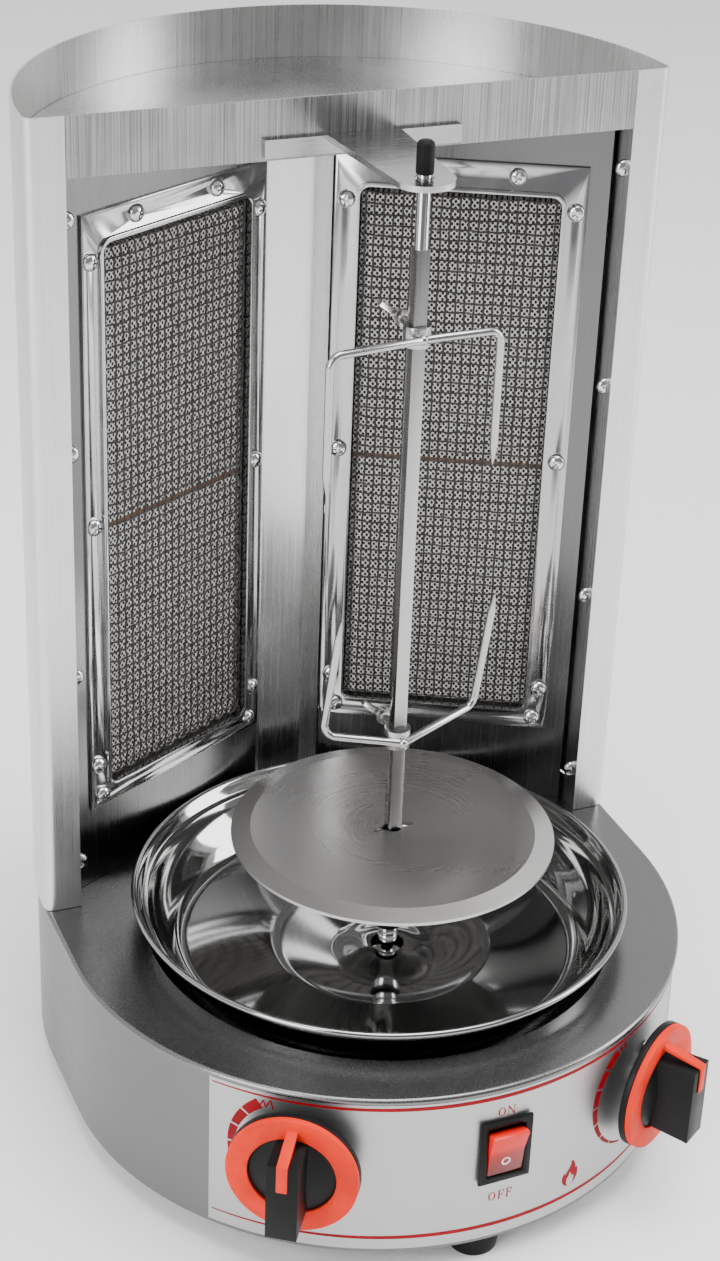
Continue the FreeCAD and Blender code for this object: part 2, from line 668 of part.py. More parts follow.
def make_burner(side):
    word = "right" if side > 0 else "left"
    stack = s.frame_sheet + s.panel_gap

    def panel_outline(sketch):
        inner = -s.panel_inner * side
        outer = s.panel_outer * side
        low, high = (inner, outer) if side > 0 else (outer, inner)
        box_outline(sketch, low, DECK + s.tray_gap, high, TRAY_FLOOR - s.tray_sheet - s.panel_top_gap)
        rounded_box_outline(sketch, s.window_half + s.window_rim, s.window_low - s.window_rim,
                            s.window_top + s.window_rim, s.post_bend)
        screw_holes(sketch)

    def frame_outline(sketch):
        box_outline(sketch, -s.frame_half, s.frame_low, s.frame_half, s.frame_top)
        rounded_box_outline(sketch, s.window_half, s.window_low, s.window_top, s.post_bend)
        screw_holes(sketch)

    def rim_outline(sketch):
        rounded_box_outline(sketch, s.window_half + s.window_rim, s.window_low - s.window_rim,
                            s.window_top + s.window_rim, s.post_bend + s.window_rim)
        rounded_box_outline(sketch, s.window_half, s.window_low, s.window_top, s.post_bend)

    def flange_outline(sketch):
        box_outline(sketch, -s.frame_half, s.frame_low, s.frame_half, s.frame_top)
        box_outline(sketch, -HOUSING_HALF, HOUSING_LOW, HOUSING_HALF, HOUSING_TOP)
        screw_holes(sketch)

    def wall_outline(sketch):
        thick = s.housing_sheet
        box_outline(sketch, -HOUSING_HALF - thick, HOUSING_LOW - thick, HOUSING_HALF + thick,
                    HOUSING_TOP + thick)
        box_outline(sketch, -HOUSING_HALF, HOUSING_LOW, HOUSING_HALF, HOUSING_TOP)

    def back_outline(sketch):
        thick = s.housing_sheet
        box_outline(sketch, -HOUSING_HALF - thick, HOUSING_LOW - thick, HOUSING_HALF + thick,
                    HOUSING_TOP + thick)

    def mesh_outline(sketch):
        gap = s.panel_gap * 2
        rounded_box_outline(sketch, s.window_half - gap, s.window_low + gap, s.window_top - gap,
                            s.post_bend - gap)

    panel = burner_body(f"{word}_reflector_panel", side)
    upright_plate(panel, "sheet", stack, s.panel_sheet, panel_outline)
    frame = burner_body(f"{word}_burner_frame", side)
    upright_plate(frame, "sheet", 0, s.frame_sheet, frame_outline)
    upright_plate(frame, "rim", -s.window_rim_height, s.window_rim_height, rim_outline)
    mesh = burner_body(f"{word}_burner_mesh", side)
    upright_plate(mesh, "screen", 0, s.mesh_depth, mesh_outline)
    flange_front = stack + s.panel_sheet + s.panel_gap
    housing = burner_body(f"{word}_burner_housing", side)
    upright_plate(housing, "flange", flange_front, s.housing_sheet, flange_outline)
    upright_plate(housing, "walls", flange_front, s.housing_depth, wall_outline)
    upright_plate(housing, "back", flange_front + s.housing_depth, s.housing_sheet, back_outline)
    make_tiles(word, side, flange_front)
    screw = screw_shape(s.screw_reach)
    places = [burner_spot(side, x, z) for x, z in burner_screw_places()]
    group(f"{word}_burner_screws", screw, places)


HOUSING_HALF = s.tile_width / 2 + s.housing_side_gap
HOUSING_LOW = s.window_low - s.housing_side_gap
HOUSING_TOP = s.window_low + s.tile_height * 2 + s.tile_gap * 5 + s.housing_side_gap


def burner_spot(side, along, height):
    """Where a screw sits on a burner's frame, its axis pointing to the front."""
    x, y = burner_point(side, along * side, -s.stack_gap)
    return spot(x, y, height, turn=-s.burner_angle * side, tip=90)


def screw_shape(reach):
    """A pan-head screw whose head sits on z = 0 and points up."""
    head = s.screw_head.value
    tall = s.screw_head_height.value
    shank = s.screw_shank.value
    deep = as_size(reach).value
    return turned_shape([
        (0, -deep), (shank, -deep), (shank, 0), (head, 0), (head, tall * 0.45), (head * 0.8, tall * 0.85),
        (head * 0.4, tall), (0, tall)])


def make_tiles(word, side, front):
    tile = Part.makeBox(s.tile_width.value, s.tile_depth.value, s.tile_height.value)
    x, y = burner_point(side, -s.tile_width / 2 * side, front + s.housing_sheet)
    if side < 0:
        x, y = burner_point(side, s.tile_width / 2, front + s.housing_sheet)
    places = []
    for number in range(2):
        height = s.window_low + s.tile_gap + (s.tile_height + s.tile_gap) * number
        places.append(spot(x, y, height, turn=-s.burner_angle * side))
    group(f"{word}_ceramic_tiles", tile, places)


def make_venturis():
    """The mixing tube under each burner, and the injector that feeds it."""
    bore = (s.venturi_radius - s.venturi_wall).value
    outer = s.venturi_radius.value
    low = s.venturi_bottom.value
    top = (HOUSING_LOW - s.housing_sheet - s.stack_gap).value
    throat = low + outer
    tube = turned_shape([
        (bore, low), (outer, low), (outer, top), (bore, top), (bore, throat + outer), (bore * 0.7, throat)])
    head = low - s.venturi_wall.value
    foot = head - s.injector_height.value
    wide = s.injector_radius.value
    jet = s.jet_radius.value
    injector = turned_shape([
        (jet, foot), (wide, foot), (wide, head - s.injector_height.value / 3), (wide / 2, head), (jet, head)])
    places = []
    for side in (-1, 1):
        x, y = burner_point(side, 0, s.venturi_back)
        places.append(spot(x, y, 0))
    group("venturi_tubes", tube, places)
    group("gas_injectors", injector, places)


def make_strip():
    half = s.strip_half
    deep = s.strip_depth
    flare_x = s.strip_flare_x
    flare_y = s.strip_flare_y
    thick = s.panel_sheet
    plate_body("centre_strip", [
        (-flare_x, flare_y), (-half, deep), (half, deep), (flare_x, flare_y),
        (flare_x + thick, flare_y + thick / 2), (half + thick / 2, deep + thick),
        (-half - thick / 2, deep + thick), (-flare_x - thick, flare_y + thick / 2)],
        DECK + s.tray_gap, TRAY_FLOOR - s.tray_sheet - s.panel_top_gap - DECK - s.tray_gap)


def make_post_screws():
    face = s.base_rear_centre - s.shell_sheet
    screw = screw_shape(s.shell_sheet * 4)
    places = []
    for side in (-1, 1):
        for height in post_screw_heights():
            places.append(spot((s.post_inner - s.stack_gap) * side, face + s.post_flange / 2, height,
                               turn=-90 * side, tip=90))
    group("post_screws", screw, places)


# ---- spit, forks and drive -------------------------------------------------------------

def make_drive():
    gap = s.running_gap
    turned_body("drive_motor", [
        (s.shaft_radius + gap, s.shaft_bottom), (s.shaft_radius + gap, MOTOR_TOP),
        (s.motor_radius, MOTOR_TOP), (s.motor_radius, MOTOR_TOP - s.motor_height), (0, MOTOR_TOP - s.motor_height),
        (0, s.shaft_bottom - s.stack_gap), (s.shaft_radius + gap, s.shaft_bottom - s.stack_gap)])
    plate = new_body("motor_bracket")
    plan = add_sketch(plate, "motor_bracket_plan", lift=MOTOR_TOP + s.stack_gap)
    ring(plan, s.motor_plate_radius)
    ring(plan, s.bush_radius + s.screw_hole_gap)
    for x, y in motor_screw_places():
        ring(plan, s.screw_shank + s.screw_hole_gap, x, y)
    pad(plate, "motor_bracket_plate", plan, s.motor_plate_sheet)
    bush_low = MOTOR_TOP + s.stack_gap
    turned_body("shaft_bush", [
        (s.shaft_radius + gap, bush_low), (s.bush_radius, bush_low), (s.bush_radius, RECESS_FLOOR),
        (s.bush_radius + 1.4, RECESS_FLOOR), (s.bush_radius + 1.4, RECESS_FLOOR + s.skirt_wall),
        (s.shaft_radius + gap, RECESS_FLOOR + s.skirt_wall)])
    screw = screw_shape(s.deck_sheet + s.motor_plate_sheet)
    under = MOTOR_TOP - s.stack_gap / 2
    group("motor_screws", screw, [spot(x, y, under, tip=180) for x, y in motor_screw_places()])

    shaft = new_body("drive_shaft")
    round_plan = add_sketch(shaft, "shaft_round", lift=s.shaft_bottom)
    ring(round_plan, s.shaft_radius)
    pad(shaft, "shaft_round_pad", round_plan, SHAFT_TOP - s.shaft_bottom)
    tip = add_sketch(shaft, "shaft_tip", lift=SHAFT_TOP - s.stack_gap)
    half = s.tip_side / 2
    box_outline(tip, -half, -half, half, half)
    pad(shaft, "shaft_tip_pad", tip, s.tip_height)
    bore = s.shaft_radius + gap / 2
    middle = s.coupling_bottom + s.coupling_height / 2
    groove = s.coupling_groove
    turned_body("drive_coupling", [
        (bore, s.coupling_bottom), (s.coupling_radius, s.coupling_bottom),
        (s.coupling_radius, middle - groove), (s.coupling_radius - groove, middle),
        (s.coupling_radius, middle + groove), (s.coupling_radius, SHAFT_TOP), (bore, SHAFT_TOP)])
    washer_low = SHAFT_TOP + s.stack_gap
    turned_body("drive_washer", [
        (bore, washer_low), (s.washer_radius, washer_low),
        (s.washer_radius, washer_low + s.washer_thickness), (bore, washer_low + s.washer_thickness)])


MOTOR_TOP = RECESS_FLOOR - s.deck_sheet - s.motor_plate_sheet - s.stack_gap * 3


def motor_screw_places():
    place_radius = s.motor_radius + s.screw_head + s.screw_hole_gap
    third = Size(math.sin(math.radians(60)), repr(math.sin(math.radians(60))))
    return [(as_size(0), -place_radius), (place_radius * third, place_radius / 2),
            (-place_radius * third, place_radius / 2)]


def make_spit():
    hub = new_body("disc_hub")
    section = add_sketch(hub, "hub_plan", lift=HUB_BOTTOM)
    ring(section, s.hub_radius)
    pad(hub, "hub_pad", section, DISC_UNDERSIDE - HUB_BOTTOM - s.stack_gap)
    socket = add_sketch(hub, "hub_socket", lift=HUB_BOTTOM)
    half = s.tip_side / 2 + s.socket_gap
    box_outline(socket, -half, -half, half, half)
    cut_through(hub, "hub_socket_cut", socket, (s.tip_height + 1) * 2)
    seat = add_sketch(hub, "hub_seat", lift=DISC_UNDERSIDE)
    ring(seat, BAR_CORNER + s.socket_gap)
    cut_through(hub, "hub_seat_cut", seat, (s.bar_seat + s.stack_gap) * 2)

    disc = new_body("meat_disc")
    flat = s.disc_radius - s.disc_bevel_width
    low = DISC_UNDERSIDE
    profile = add_sketch(disc, "disc_section", "XZ_Plane")
    outline(profile, [
        (0, low), (flat, low), (s.disc_radius, low - s.disc_bevel_drop),
        (s.disc_radius, s.disc_top - s.disc_bevel_drop), (flat, s.disc_top), (0, s.disc_top)])
    turned(disc, "disc_turned", profile)
    hole = add_sketch(disc, "disc_hole", lift=s.disc_top)
    ring(hole, BAR_CORNER + s.socket_gap)
    cut_through(disc, "disc_hole_cut", hole, s.disc_sheet * 4)
    ears = add_sketch(disc, "disc_ears", lift=s.disc_top)
    box_outline(ears, -s.ear_length / 2, -s.ear_width / 2, s.ear_length / 2, s.ear_width / 2)
    cut_through(disc, "disc_ears_cut", ears, s.disc_sheet * 4)

    rod = new_body("spit_rod")
    square = add_sketch(rod, "bar_plan", lift=DISC_UNDERSIDE - s.bar_seat)
    half = s.bar_side / 2
    box_outline(square, -half, -half, half, half)
    pad(rod, "square_bar", square, BAR_TOP - DISC_UNDERSIDE + s.bar_seat)
    neck = add_sketch(rod, "neck_plan", lift=BAR_TOP - s.stack_gap)
    ring(neck, s.rod_radius)
    pad(rod, "round_neck", neck, CAP_LOW + s.cap_grip - BAR_TOP)

    bore = s.rod_radius + s.running_gap / 2
    crown = CAP_LOW + s.cap_height
    round_off = s.cap_radius * 0.6
    turned_body("spit_cap", [
        (bore, CAP_LOW), (s.cap_radius, CAP_LOW), (s.cap_radius, crown - round_off),
        (s.cap_radius - round_off, crown, round_off, 1), (0, crown),
        (0, CAP_LOW + s.cap_grip + s.stack_gap), (bore, CAP_LOW + s.cap_grip + s.stack_gap)])


CAP_LOW = BRACKET_TOP + s.stack_gap * 15
BAR_CORNER = s.bar_side / 2 * root(as_size(2.0))


def sweep_rod(points, radius, bends):
    """A round rod through the points, its corners rounded with the bend radius."""
    path = rounded_path(points, bends)
    start = path.Edges[0]
    direction = start.tangentAt(start.FirstParameter)
    profile = Part.Wire(Part.makeCircle(radius, start.valueAt(start.FirstParameter), direction))
    return path.makePipeShell([profile], True, True)


def rounded_path(points, bend):
    """A wire of straight runs joined by tangent arcs."""
    edges = []
    start = points[0]
    for before, corner, after in zip(points, points[1:], points[2:]):
        back = (before - corner).normalize()
        ahead = (after - corner).normalize()
        half_angle = back.getAngle(ahead) / 2
        reach = bend / math.tan(half_angle)
        first = corner + back * reach
        last = corner + ahead * reach
        centre = corner + (back + ahead).normalize() * (bend / math.sin(half_angle))
        middle = centre + (corner - centre).normalize() * bend
        edges.append(Part.LineSegment(start, first).toShape())
        edges.append(Part.Arc(first, middle, last).toShape())
        start = last
    edges.append(Part.LineSegment(start, points[-1]).toShape())
    return Part.Wire(edges)


def make_fork(name, height, left, right, prong, direction):
    """A collar that slides on the square bar, with a bent two-prong rod welded to its front."""
    collar = Part.makeCylinder(COLLAR_RADIUS.value, s.collar_height.value,
                               Vector(0, 0, -s.collar_height.value / 2))
    slot_half = s.bar_side.value / 2 + s.collar_gap.value
    hole = Part.makeBox(slot_half * 2, slot_half * 2, s.collar_height.value * 2,
                        Vector(-slot_half, -slot_half, -s.collar_height.value))
    collar = collar.cut(hole)
    bore = Part.makeCylinder(s.screw_radius.value + s.collar_gap.value, COLLAR_RADIUS.value * 2,
                             Vector(0, 0, s.wing_lift.value), Vector(0, 1, 0))
    collar = collar.cut(bore)
    rod = s.fork_rod.value
    weld = Vector(0, -COLLAR_RADIUS.value - rod * 0.6, 0)
    left_bend = Vector(-left[0].value, left[1].value, 0)
    right_bend = Vector(right[0].value, right[1].value, 0)
    lean = s.prong_lean.value if direction > 0 else 0
    reach = prong.value - s.prong_point.value
    rods = []
    for bend in (left_bend, right_bend):
        rise = Vector(lean * 0.8, -lean, reach * direction)
        tip = bend + rise
        run = sweep_rod([weld, bend, tip], rod, rod * 3)
        point = Part.makeCone(rod, rod * 0.12, s.prong_point.value, tip, rise)
        rods.append(run.fuse(point))
    bead = Part.makeSphere(rod * 1.25, weld)
    shape = collar.multiFuse(rods + [bead]).removeSplitter()
    item = document.addObject("Part::Feature", name)
    item.Label = name
    item.Shape = shape
    place(item, z=height)


def make_wing_screw(name, height):
    """A clamping screw with two wings, its tip just short of the bar."""
    tip = s.bar_side.value / 2 + s.collar_gap.value * 2
    shank = Part.makeCylinder(s.screw_radius.value, s.screw_length.value, Vector(0, tip, 0), Vector(0, 1, 0))
    end = tip + s.screw_length.value
    boss = Part.makeCone(s.screw_radius.value * 1.9, s.screw_radius.value * 1.5, s.screw_radius.value * 2.2,
                         Vector(0, end - s.screw_radius.value, 0), Vector(0, 1, 0))
    half = s.wing_span.value / 2
    thick = s.wing_thickness.value
    wing_start = end - s.screw_radius.value * 0.4
    corners = [
        Vector(-half, wing_start + s.wing_height.value * 0.55, 0), Vector(-half * 0.55, wing_start, 0),
        Vector(half * 0.55, wing_start, 0), Vector(half, wing_start + s.wing_height.value * 0.55, 0),
        Vector(half, wing_start + s.wing_height.value, 0),
        Vector(half * 0.3, wing_start + s.wing_height.value * 0.6, 0),
        Vector(-half * 0.3, wing_start + s.wing_height.value * 0.6, 0),
        Vector(-half, wing_start + s.wing_height.value, 0)]
    face = Part.Face(Part.makePolygon(corners + corners[:1]))
    wings = face.extrude(Vector(0, 0, thick))
    wings.translate(Vector(0, 0, -thick / 2))
    wings.rotate(Vector(0, 0, 0), Vector(0, 1, 0), s.wing_turn.value)
    item = document.addObject("Part::Feature", name)
    item.Label = name
    item.Shape = shank.multiFuse([boss, wings]).removeSplitter()
    place(item, z=height + s.wing_lift)


def make_pan():
    low = PAN_UNDERSIDE
    thick = s.pan_sheet
    top = low + s.pan_height
    wall_top = s.pan_radius - s.pan_bead * 2
    pan = new_body("drip_pan", y=s.pan_centre)
    section = add_sketch(pan, "pan_section", "XZ_Plane")
    outline(section, [
        (0, low), (s.pan_floor_radius, low), (s.pan_floor_radius + s.pan_step, low + s.pan_step),
        (wall_top, top - s.pan_bead), (s.pan_radius, top - s.pan_bead), (s.pan_radius, top),
        (wall_top - thick, top), (s.pan_floor_radius + s.pan_step - thick, low + s.pan_step + thick),
        (s.pan_floor_radius - thick, low + thick), (0, low + thick)])
    turned(pan, "pan_turned", section)
    neck = add_sketch(pan, "pan_neck", lift=low)
    ring(neck, s.pan_neck_radius + thick, 0, -s.pan_centre)
    pad(pan, "pan_neck_pad", neck, s.pan_neck_height)
    hole = add_sketch(pan, "pan_hole", lift=low)
    ring(hole, s.pan_neck_radius, 0, -s.pan_centre)
    cut_through(pan, "pan_hole_cut", hole, s.pan_neck_height * 3)


# ---- gas line ---------------------------------------------------------------------------

def make_gas_line():
    for side in (-1, 1):
        word = "right" if side > 0 else "left"
        make_valve(word, side)
        make_burner_pipe(word, side)
    make_manifold()


def make_valve(word, side):
    """Valve body behind the skirt, its neck passing out through it."""
    x, y = on_front(s.knob_angle * side, s.base_radius)
    gap = s.running_gap
    inside = s.skirt_wall + s.tray_gap
    neck_top = s.knob_standoff - s.push_travel - s.skirt_wall
    deep = s.valve_depth
    bore = s.stem_radius + gap
    turned_body(f"{word}_gas_valve", [
        (0, -deep), (s.valve_radius, -deep), (s.valve_radius, -inside), (s.valve_neck_radius, -inside),
        (s.valve_neck_radius, neck_top), (bore, neck_top), (bore, -STEM_DEPTH),
        (PLUNGER_RADIUS, -STEM_DEPTH), (PLUNGER_RADIUS, -deep + s.skirt_wall), (0, -deep + s.skirt_wall)],
        x=x, y=y, z=s.control_height, turn=s.knob_angle * side, tip=90)
    plunger_top = -STEM_DEPTH - s.stack_gap
    turned_body(f"{word}_valve_plunger", [
        (0, plunger_top - s.plunger_thickness), (PLUNGER_RADIUS - gap * 2, plunger_top - s.plunger_thickness),
        (PLUNGER_RADIUS - gap * 2, plunger_top), (0, plunger_top)],
        x=x, y=y, z=s.control_height, turn=s.knob_angle * side, tip=90)


STEM_DEPTH = s.valve_depth - s.push_travel * 2 - s.plunger_thickness
PLUNGER_RADIUS = s.valve_radius - s.skirt_wall * 2


def make_burner_pipe(word, side):
    """A tube from the side of the valve back to the injector under the burner."""
    start_x, start_y = on_front(s.knob_angle * side, s.base_radius - s.valve_depth - s.pipe_radius * 1.5)
    end_x, end_y = burner_point(side, 0, s.venturi_back)
    level = s.pipe_height.value
    end_z = (s.venturi_bottom - s.venturi_wall - s.injector_height - s.stack_gap).value
    points = [
        Vector(start_x.value, start_y.value, level),
        Vector(end_x.value, end_y.value, level),
        Vector(end_x.value, end_y.value, end_z)]
    outer = sweep_rod(points, s.pipe_radius.value, s.pipe_radius.value * 1.1)
    item = document.addObject("Part::Feature", f"{word}_burner_pipe")
    item.Label = f"{word}_burner_pipe"
    item.Shape = outer
    place(item)


def make_manifold():
    """A cross tube between the valves, and the feed that runs round the motor to the rear inlet."""
    level = s.pipe_height.value
    radius = s.pipe_radius.value
    y = -s.manifold_y.value
    lean = math.radians(s.knob_angle.value)
    axis_x = (s.base_front_centre.value - y - radius) * math.tan(lean)
    end = axis_x - s.valve_radius.value / math.cos(lean) - s.stack_gap.value * 4
    cross = Part.makeCylinder(radius, end * 2, Vector(-end, y, level), Vector(1, 0, 0))
    feed_x = s.feed_x.value
    back_y = (s.base_rear_centre + s.base_radius).value
    inlet_y = back_y - s.pipe_radius.value * 6
    feed = sweep_rod([
        Vector(feed_x, y, level), Vector(feed_x, inlet_y - feed_x * 1.6, level),
        Vector(0, inlet_y - feed_x * 0.5, level), Vector(0, inlet_y, level)], radius, radius * 2.5)
    item = document.addObject("Part::Feature", "gas_manifold")
    item.Label = "gas_manifold"
    item.Shape = cross.fuse(feed).removeSplitter()
    place(item)
    depth = s.pipe_radius * 6
    shoulder = depth + s.seam_gap
    spigot = shoulder + INLET_SHOULDER
    length = spigot + s.inlet_length
    turned_body("gas_inlet", [
        (0, s.stack_gap), (s.inlet_radius, s.stack_gap), (s.inlet_radius, shoulder),
        (s.inlet_radius * 1.6, shoulder), (s.inlet_radius * 1.6, spigot), (s.inlet_radius, spigot),
        (s.inlet_radius, length), (INLET_BORE, length), (INLET_BORE, s.pipe_radius), (0, s.pipe_radius)],
        y=s.base_rear_centre + s.base_radius - depth, z=s.pipe_height, tip=-90)
    turned_body("cable_gland", gland_profile(), x=-s.gland_x, y=gland_y(), z=s.pipe_height, tip=-90)


INLET_BORE = s.inlet_radius - s.pipe_wall * 2


def gland_y():
    reach = s.base_radius * s.base_radius - s.gland_x * s.gland_x
    return s.base_rear_centre + root(reach)


def gland_profile():
    bore = s.gland_radius * 0.45
    return [(bore, -s.gland_radius), (s.gland_radius, -s.gland_radius), (s.gland_radius, s.gland_radius * 0.6),
            (s.gland_radius * 1.4, s.gland_radius * 0.6), (s.gland_radius * 1.4, s.gland_radius),
            (bore * 1.5, s.gland_radius * 1.4), (bore, s.gland_radius * 1.4)]


# ---- controls ---------------------------------------------------------------------------

def knob_frame(name, side):
    x, y = on_front(s.knob_angle * side, s.base_radius)
    return new_body(name, x=x, y=y, z=s.control_height, turn=s.knob_angle * side, tip=90)


def make_knob(word, side):
    low = s.knob_standoff
    disc_top = low + s.knob_disc
    ring_top = disc_top + s.ring_height
    base = knob_frame(f"{word}_knob", side)
    profile = add_sketch(base, f"{word}_knob_section", "XZ_Plane")
    hub = s.ring_hole - s.stack_gap
    outline(profile, [
        (STEM_BORE, low), (s.knob_radius, low), (s.knob_radius, disc_top), (hub, disc_top),
        (hub, ring_top - s.hub_dome / 3), (0, ring_top + s.hub_dome), (0, STEM_TOP), (STEM_BORE, STEM_TOP)])
    turned(base, f"{word}_knob_turned", profile)
    grip = add_sketch(base, f"{word}_grip_section", "YZ_Plane", -s.grip_width / 2)
    half = s.grip_length / 2
    fit_radius = s.ring_hole - s.stack_gap * 3
    root_half = root(fit_radius * fit_radius - s.grip_width * s.grip_width / 4)
    front = ring_top + s.grip_reach
    foot = ring_top - s.hub_dome / 3 - s.stack_gap * 2
    outline(grip, [(-root_half, foot), (root_half, foot), (half, front), (-half, front)])
    pad(base, f"{word}_grip", grip, s.grip_width)

    collar = knob_frame(f"{word}_knob_ring", side)
    plan = add_sketch(collar, f"{word}_ring_plan", lift=disc_top + s.stack_gap)
    ring(plan, s.knob_radius - s.stack_gap)
    ring(plan, s.ring_hole)
    pad(collar, f"{word}_ring_plate", plan, s.ring_height)
    pointer = add_sketch(collar, f"{word}_pointer_section", "YZ_Plane", -s.pointer_width / 2)
    start = s.ring_hole + s.pointer_width / 2
    proud = s.pointer_proud + s.stack_gap
    outline(pointer, [
        (start, ring_top), (start + s.pointer_width / 2, ring_top), (half + proud, front + proud),
        (half - s.pointer_down, front + proud), (half - s.pointer_down, front + s.stack_gap),
        (half + s.stack_gap, front + s.stack_gap)])
    pad(collar, f"{word}_pointer", pointer, s.pointer_width)

    stem = turned_body(f"{word}_knob_stem", [
        (0, -STEM_DEPTH), (s.stem_radius, -STEM_DEPTH), (s.stem_radius, STEM_TOP - s.stack_gap),
        (0, STEM_TOP - s.stack_gap)])
    x, y = on_front(s.knob_angle * side, s.base_radius)
    place(stem, x=x, y=y, z=s.control_height, turn=s.knob_angle * side, tip=90)


STEM_BORE = s.stem_radius + s.running_gap / 2
STEM_TOP = s.knob_standoff + s.knob_disc + s.ring_height / 2


def switch_frame(name, tip=0):
    x, y = on_front(s.rocker_place, s.base_radius)
    return new_body(name, x=x, y=y, z=s.control_height, turn=s.rocker_place, tip=90 + tip)


def make_switch():
    back = BEZEL_BACK - s.base_radius
    bezel = switch_frame("switch_bezel")
    plan = add_sketch(bezel, "bezel_plan", lift=back)
    half = s.bezel_width / 2
    tall = s.bezel_height / 2
    box_outline(plan, -half, -tall, half, tall)
    pad(bezel, "bezel_frame", plan, s.bezel_proud)
    case = add_sketch(bezel, "switch_case_plan", lift=-s.switch_depth)
    half = s.switch_width / 2
    tall = s.switch_height / 2
    box_outline(case, -half, -tall, half, tall)
    pad(bezel, "switch_case", case, s.switch_depth + back + s.stack_gap)
    mouth = add_sketch(bezel, "switch_mouth_plan", lift=back + s.bezel_proud)
    half = s.rocker_opening_width / 2
    tall = s.rocker_opening_height / 2
    box_outline(mouth, -half, -tall, half, tall)
    cut_through(bezel, "switch_mouth", mouth, s.rocker_half * 2)

    rocker = document.addObject("PartDesign::Body", "switch_rocker")
    rocker.Label = "switch_rocker"
    x, y = on_front(s.rocker_place, s.base_radius + back + s.bezel_proud)
    place(rocker, x=x, y=y, z=s.control_height, turn=s.rocker_place, tip=90 + s.rocker_tilt.value)
    section = add_sketch(rocker, "rocker_section", "YZ_Plane", -s.rocker_width / 2)
    half = s.rocker_half
    waist = s.rocker_half * 0.7
    outline(section, [
        (-waist, -s.rocker_depth), (waist, -s.rocker_depth), (half, 0), (half, s.rocker_crest),
        (0, s.rocker_valley), (-half, s.rocker_crest), (-half, 0)])
    pad(rocker, "rocker_pad", section, s.rocker_width)


def make_eyelets():
    hole = s.eyelet_hole.value
    neck = hole + s.screw_hole_gap.value * 0.8
    edge = s.eyelet_radius.value
    proud = 1.0
    deep = (s.skirt_wall + s.label_sheet).value + 2
    shape = turned_shape([
        (hole * 0.8, -deep), (neck, -deep), (neck, 0), (edge, 0), (edge * 0.92, proud * 0.7),
        (hole * 1.15, proud), (hole * 0.8, proud * 0.4)])
    places = []
    for side in (-1, 1):
        angle = s.knob_angle * side + s.eyelet_shift
        x, y = on_front(angle, s.base_radius + s.label_gap + s.label_sheet + s.stack_gap)
        places.append(spot(x, y, s.eyelet_height, turn=angle, tip=90))
    group("valve_eyelets", shape, places)


# ---- build, check and write -----------------------------------------------------------

def build():
    fill_sheet()
    make_base()
    make_feet()
    make_recess(make_deck())
    make_label()
    make_shell()
    make_tray()
    make_bracket()
    make_burner(-1)
    make_burner(1)
    make_venturis()
    make_strip()
    make_post_screws()
    make_drive()
    make_spit()
    make_fork("upper_fork", s.upper_fork_height, (s.upper_left_x, -s.upper_left_y),
              (s.upper_right_x, -s.upper_right_y), s.upper_prong, -1)
    make_fork("lower_fork", s.lower_fork_height, (s.lower_left_x, s.lower_left_y),
              (s.lower_right_x, s.lower_right_y), s.lower_prong, 1)
    make_wing_screw("upper_wing_screw", s.upper_fork_height)
    make_wing_screw("lower_wing_screw", s.lower_fork_height)
    make_pan()
    make_gas_line()
    make_knob("left", -1)
    make_knob("right", 1)
    make_switch()
    make_eyelets()
    document.recompute()


def check_and_write():
    os.makedirs("parts", exist_ok=True)
    faults = []
    for item in document.Objects:
        if "Invalid" in item.State or "Error" in item.State:
            faults.append(item.Name)
    for item in document.Objects:
        if item.TypeId not in ("PartDesign::Body", "Part::Feature") or item.getParentGeoFeatureGroup():
            continue
        if item.Shape.isNull() or not item.Shape.isValid() or not item.Shape.Solids:
            faults.append(item.Name)
            continue
        item.Shape.exportStep(f"parts/{item.Label}.step")
        bounds = item.Shape.BoundBox
        print(f"{item.Label:26s} {len(item.Shape.Solids):3d} solids {item.Shape.Volume:12.1f} mm3 "
              f"x {bounds.XMin:7.1f} {bounds.XMax:7.1f} y {bounds.YMin:7.1f} {bounds.YMax:7.1f} "
              f"z {bounds.ZMin:7.1f} {bounds.ZMax:7.1f}")
    if faults:
        raise RuntimeError("faulty pieces: " + ", ".join(faults))


build()
check_and_write()
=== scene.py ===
import json
import math

import bmesh
import bpy
from mathutils import Matrix, Vector
from mathutils.bvhtree import BVHTree

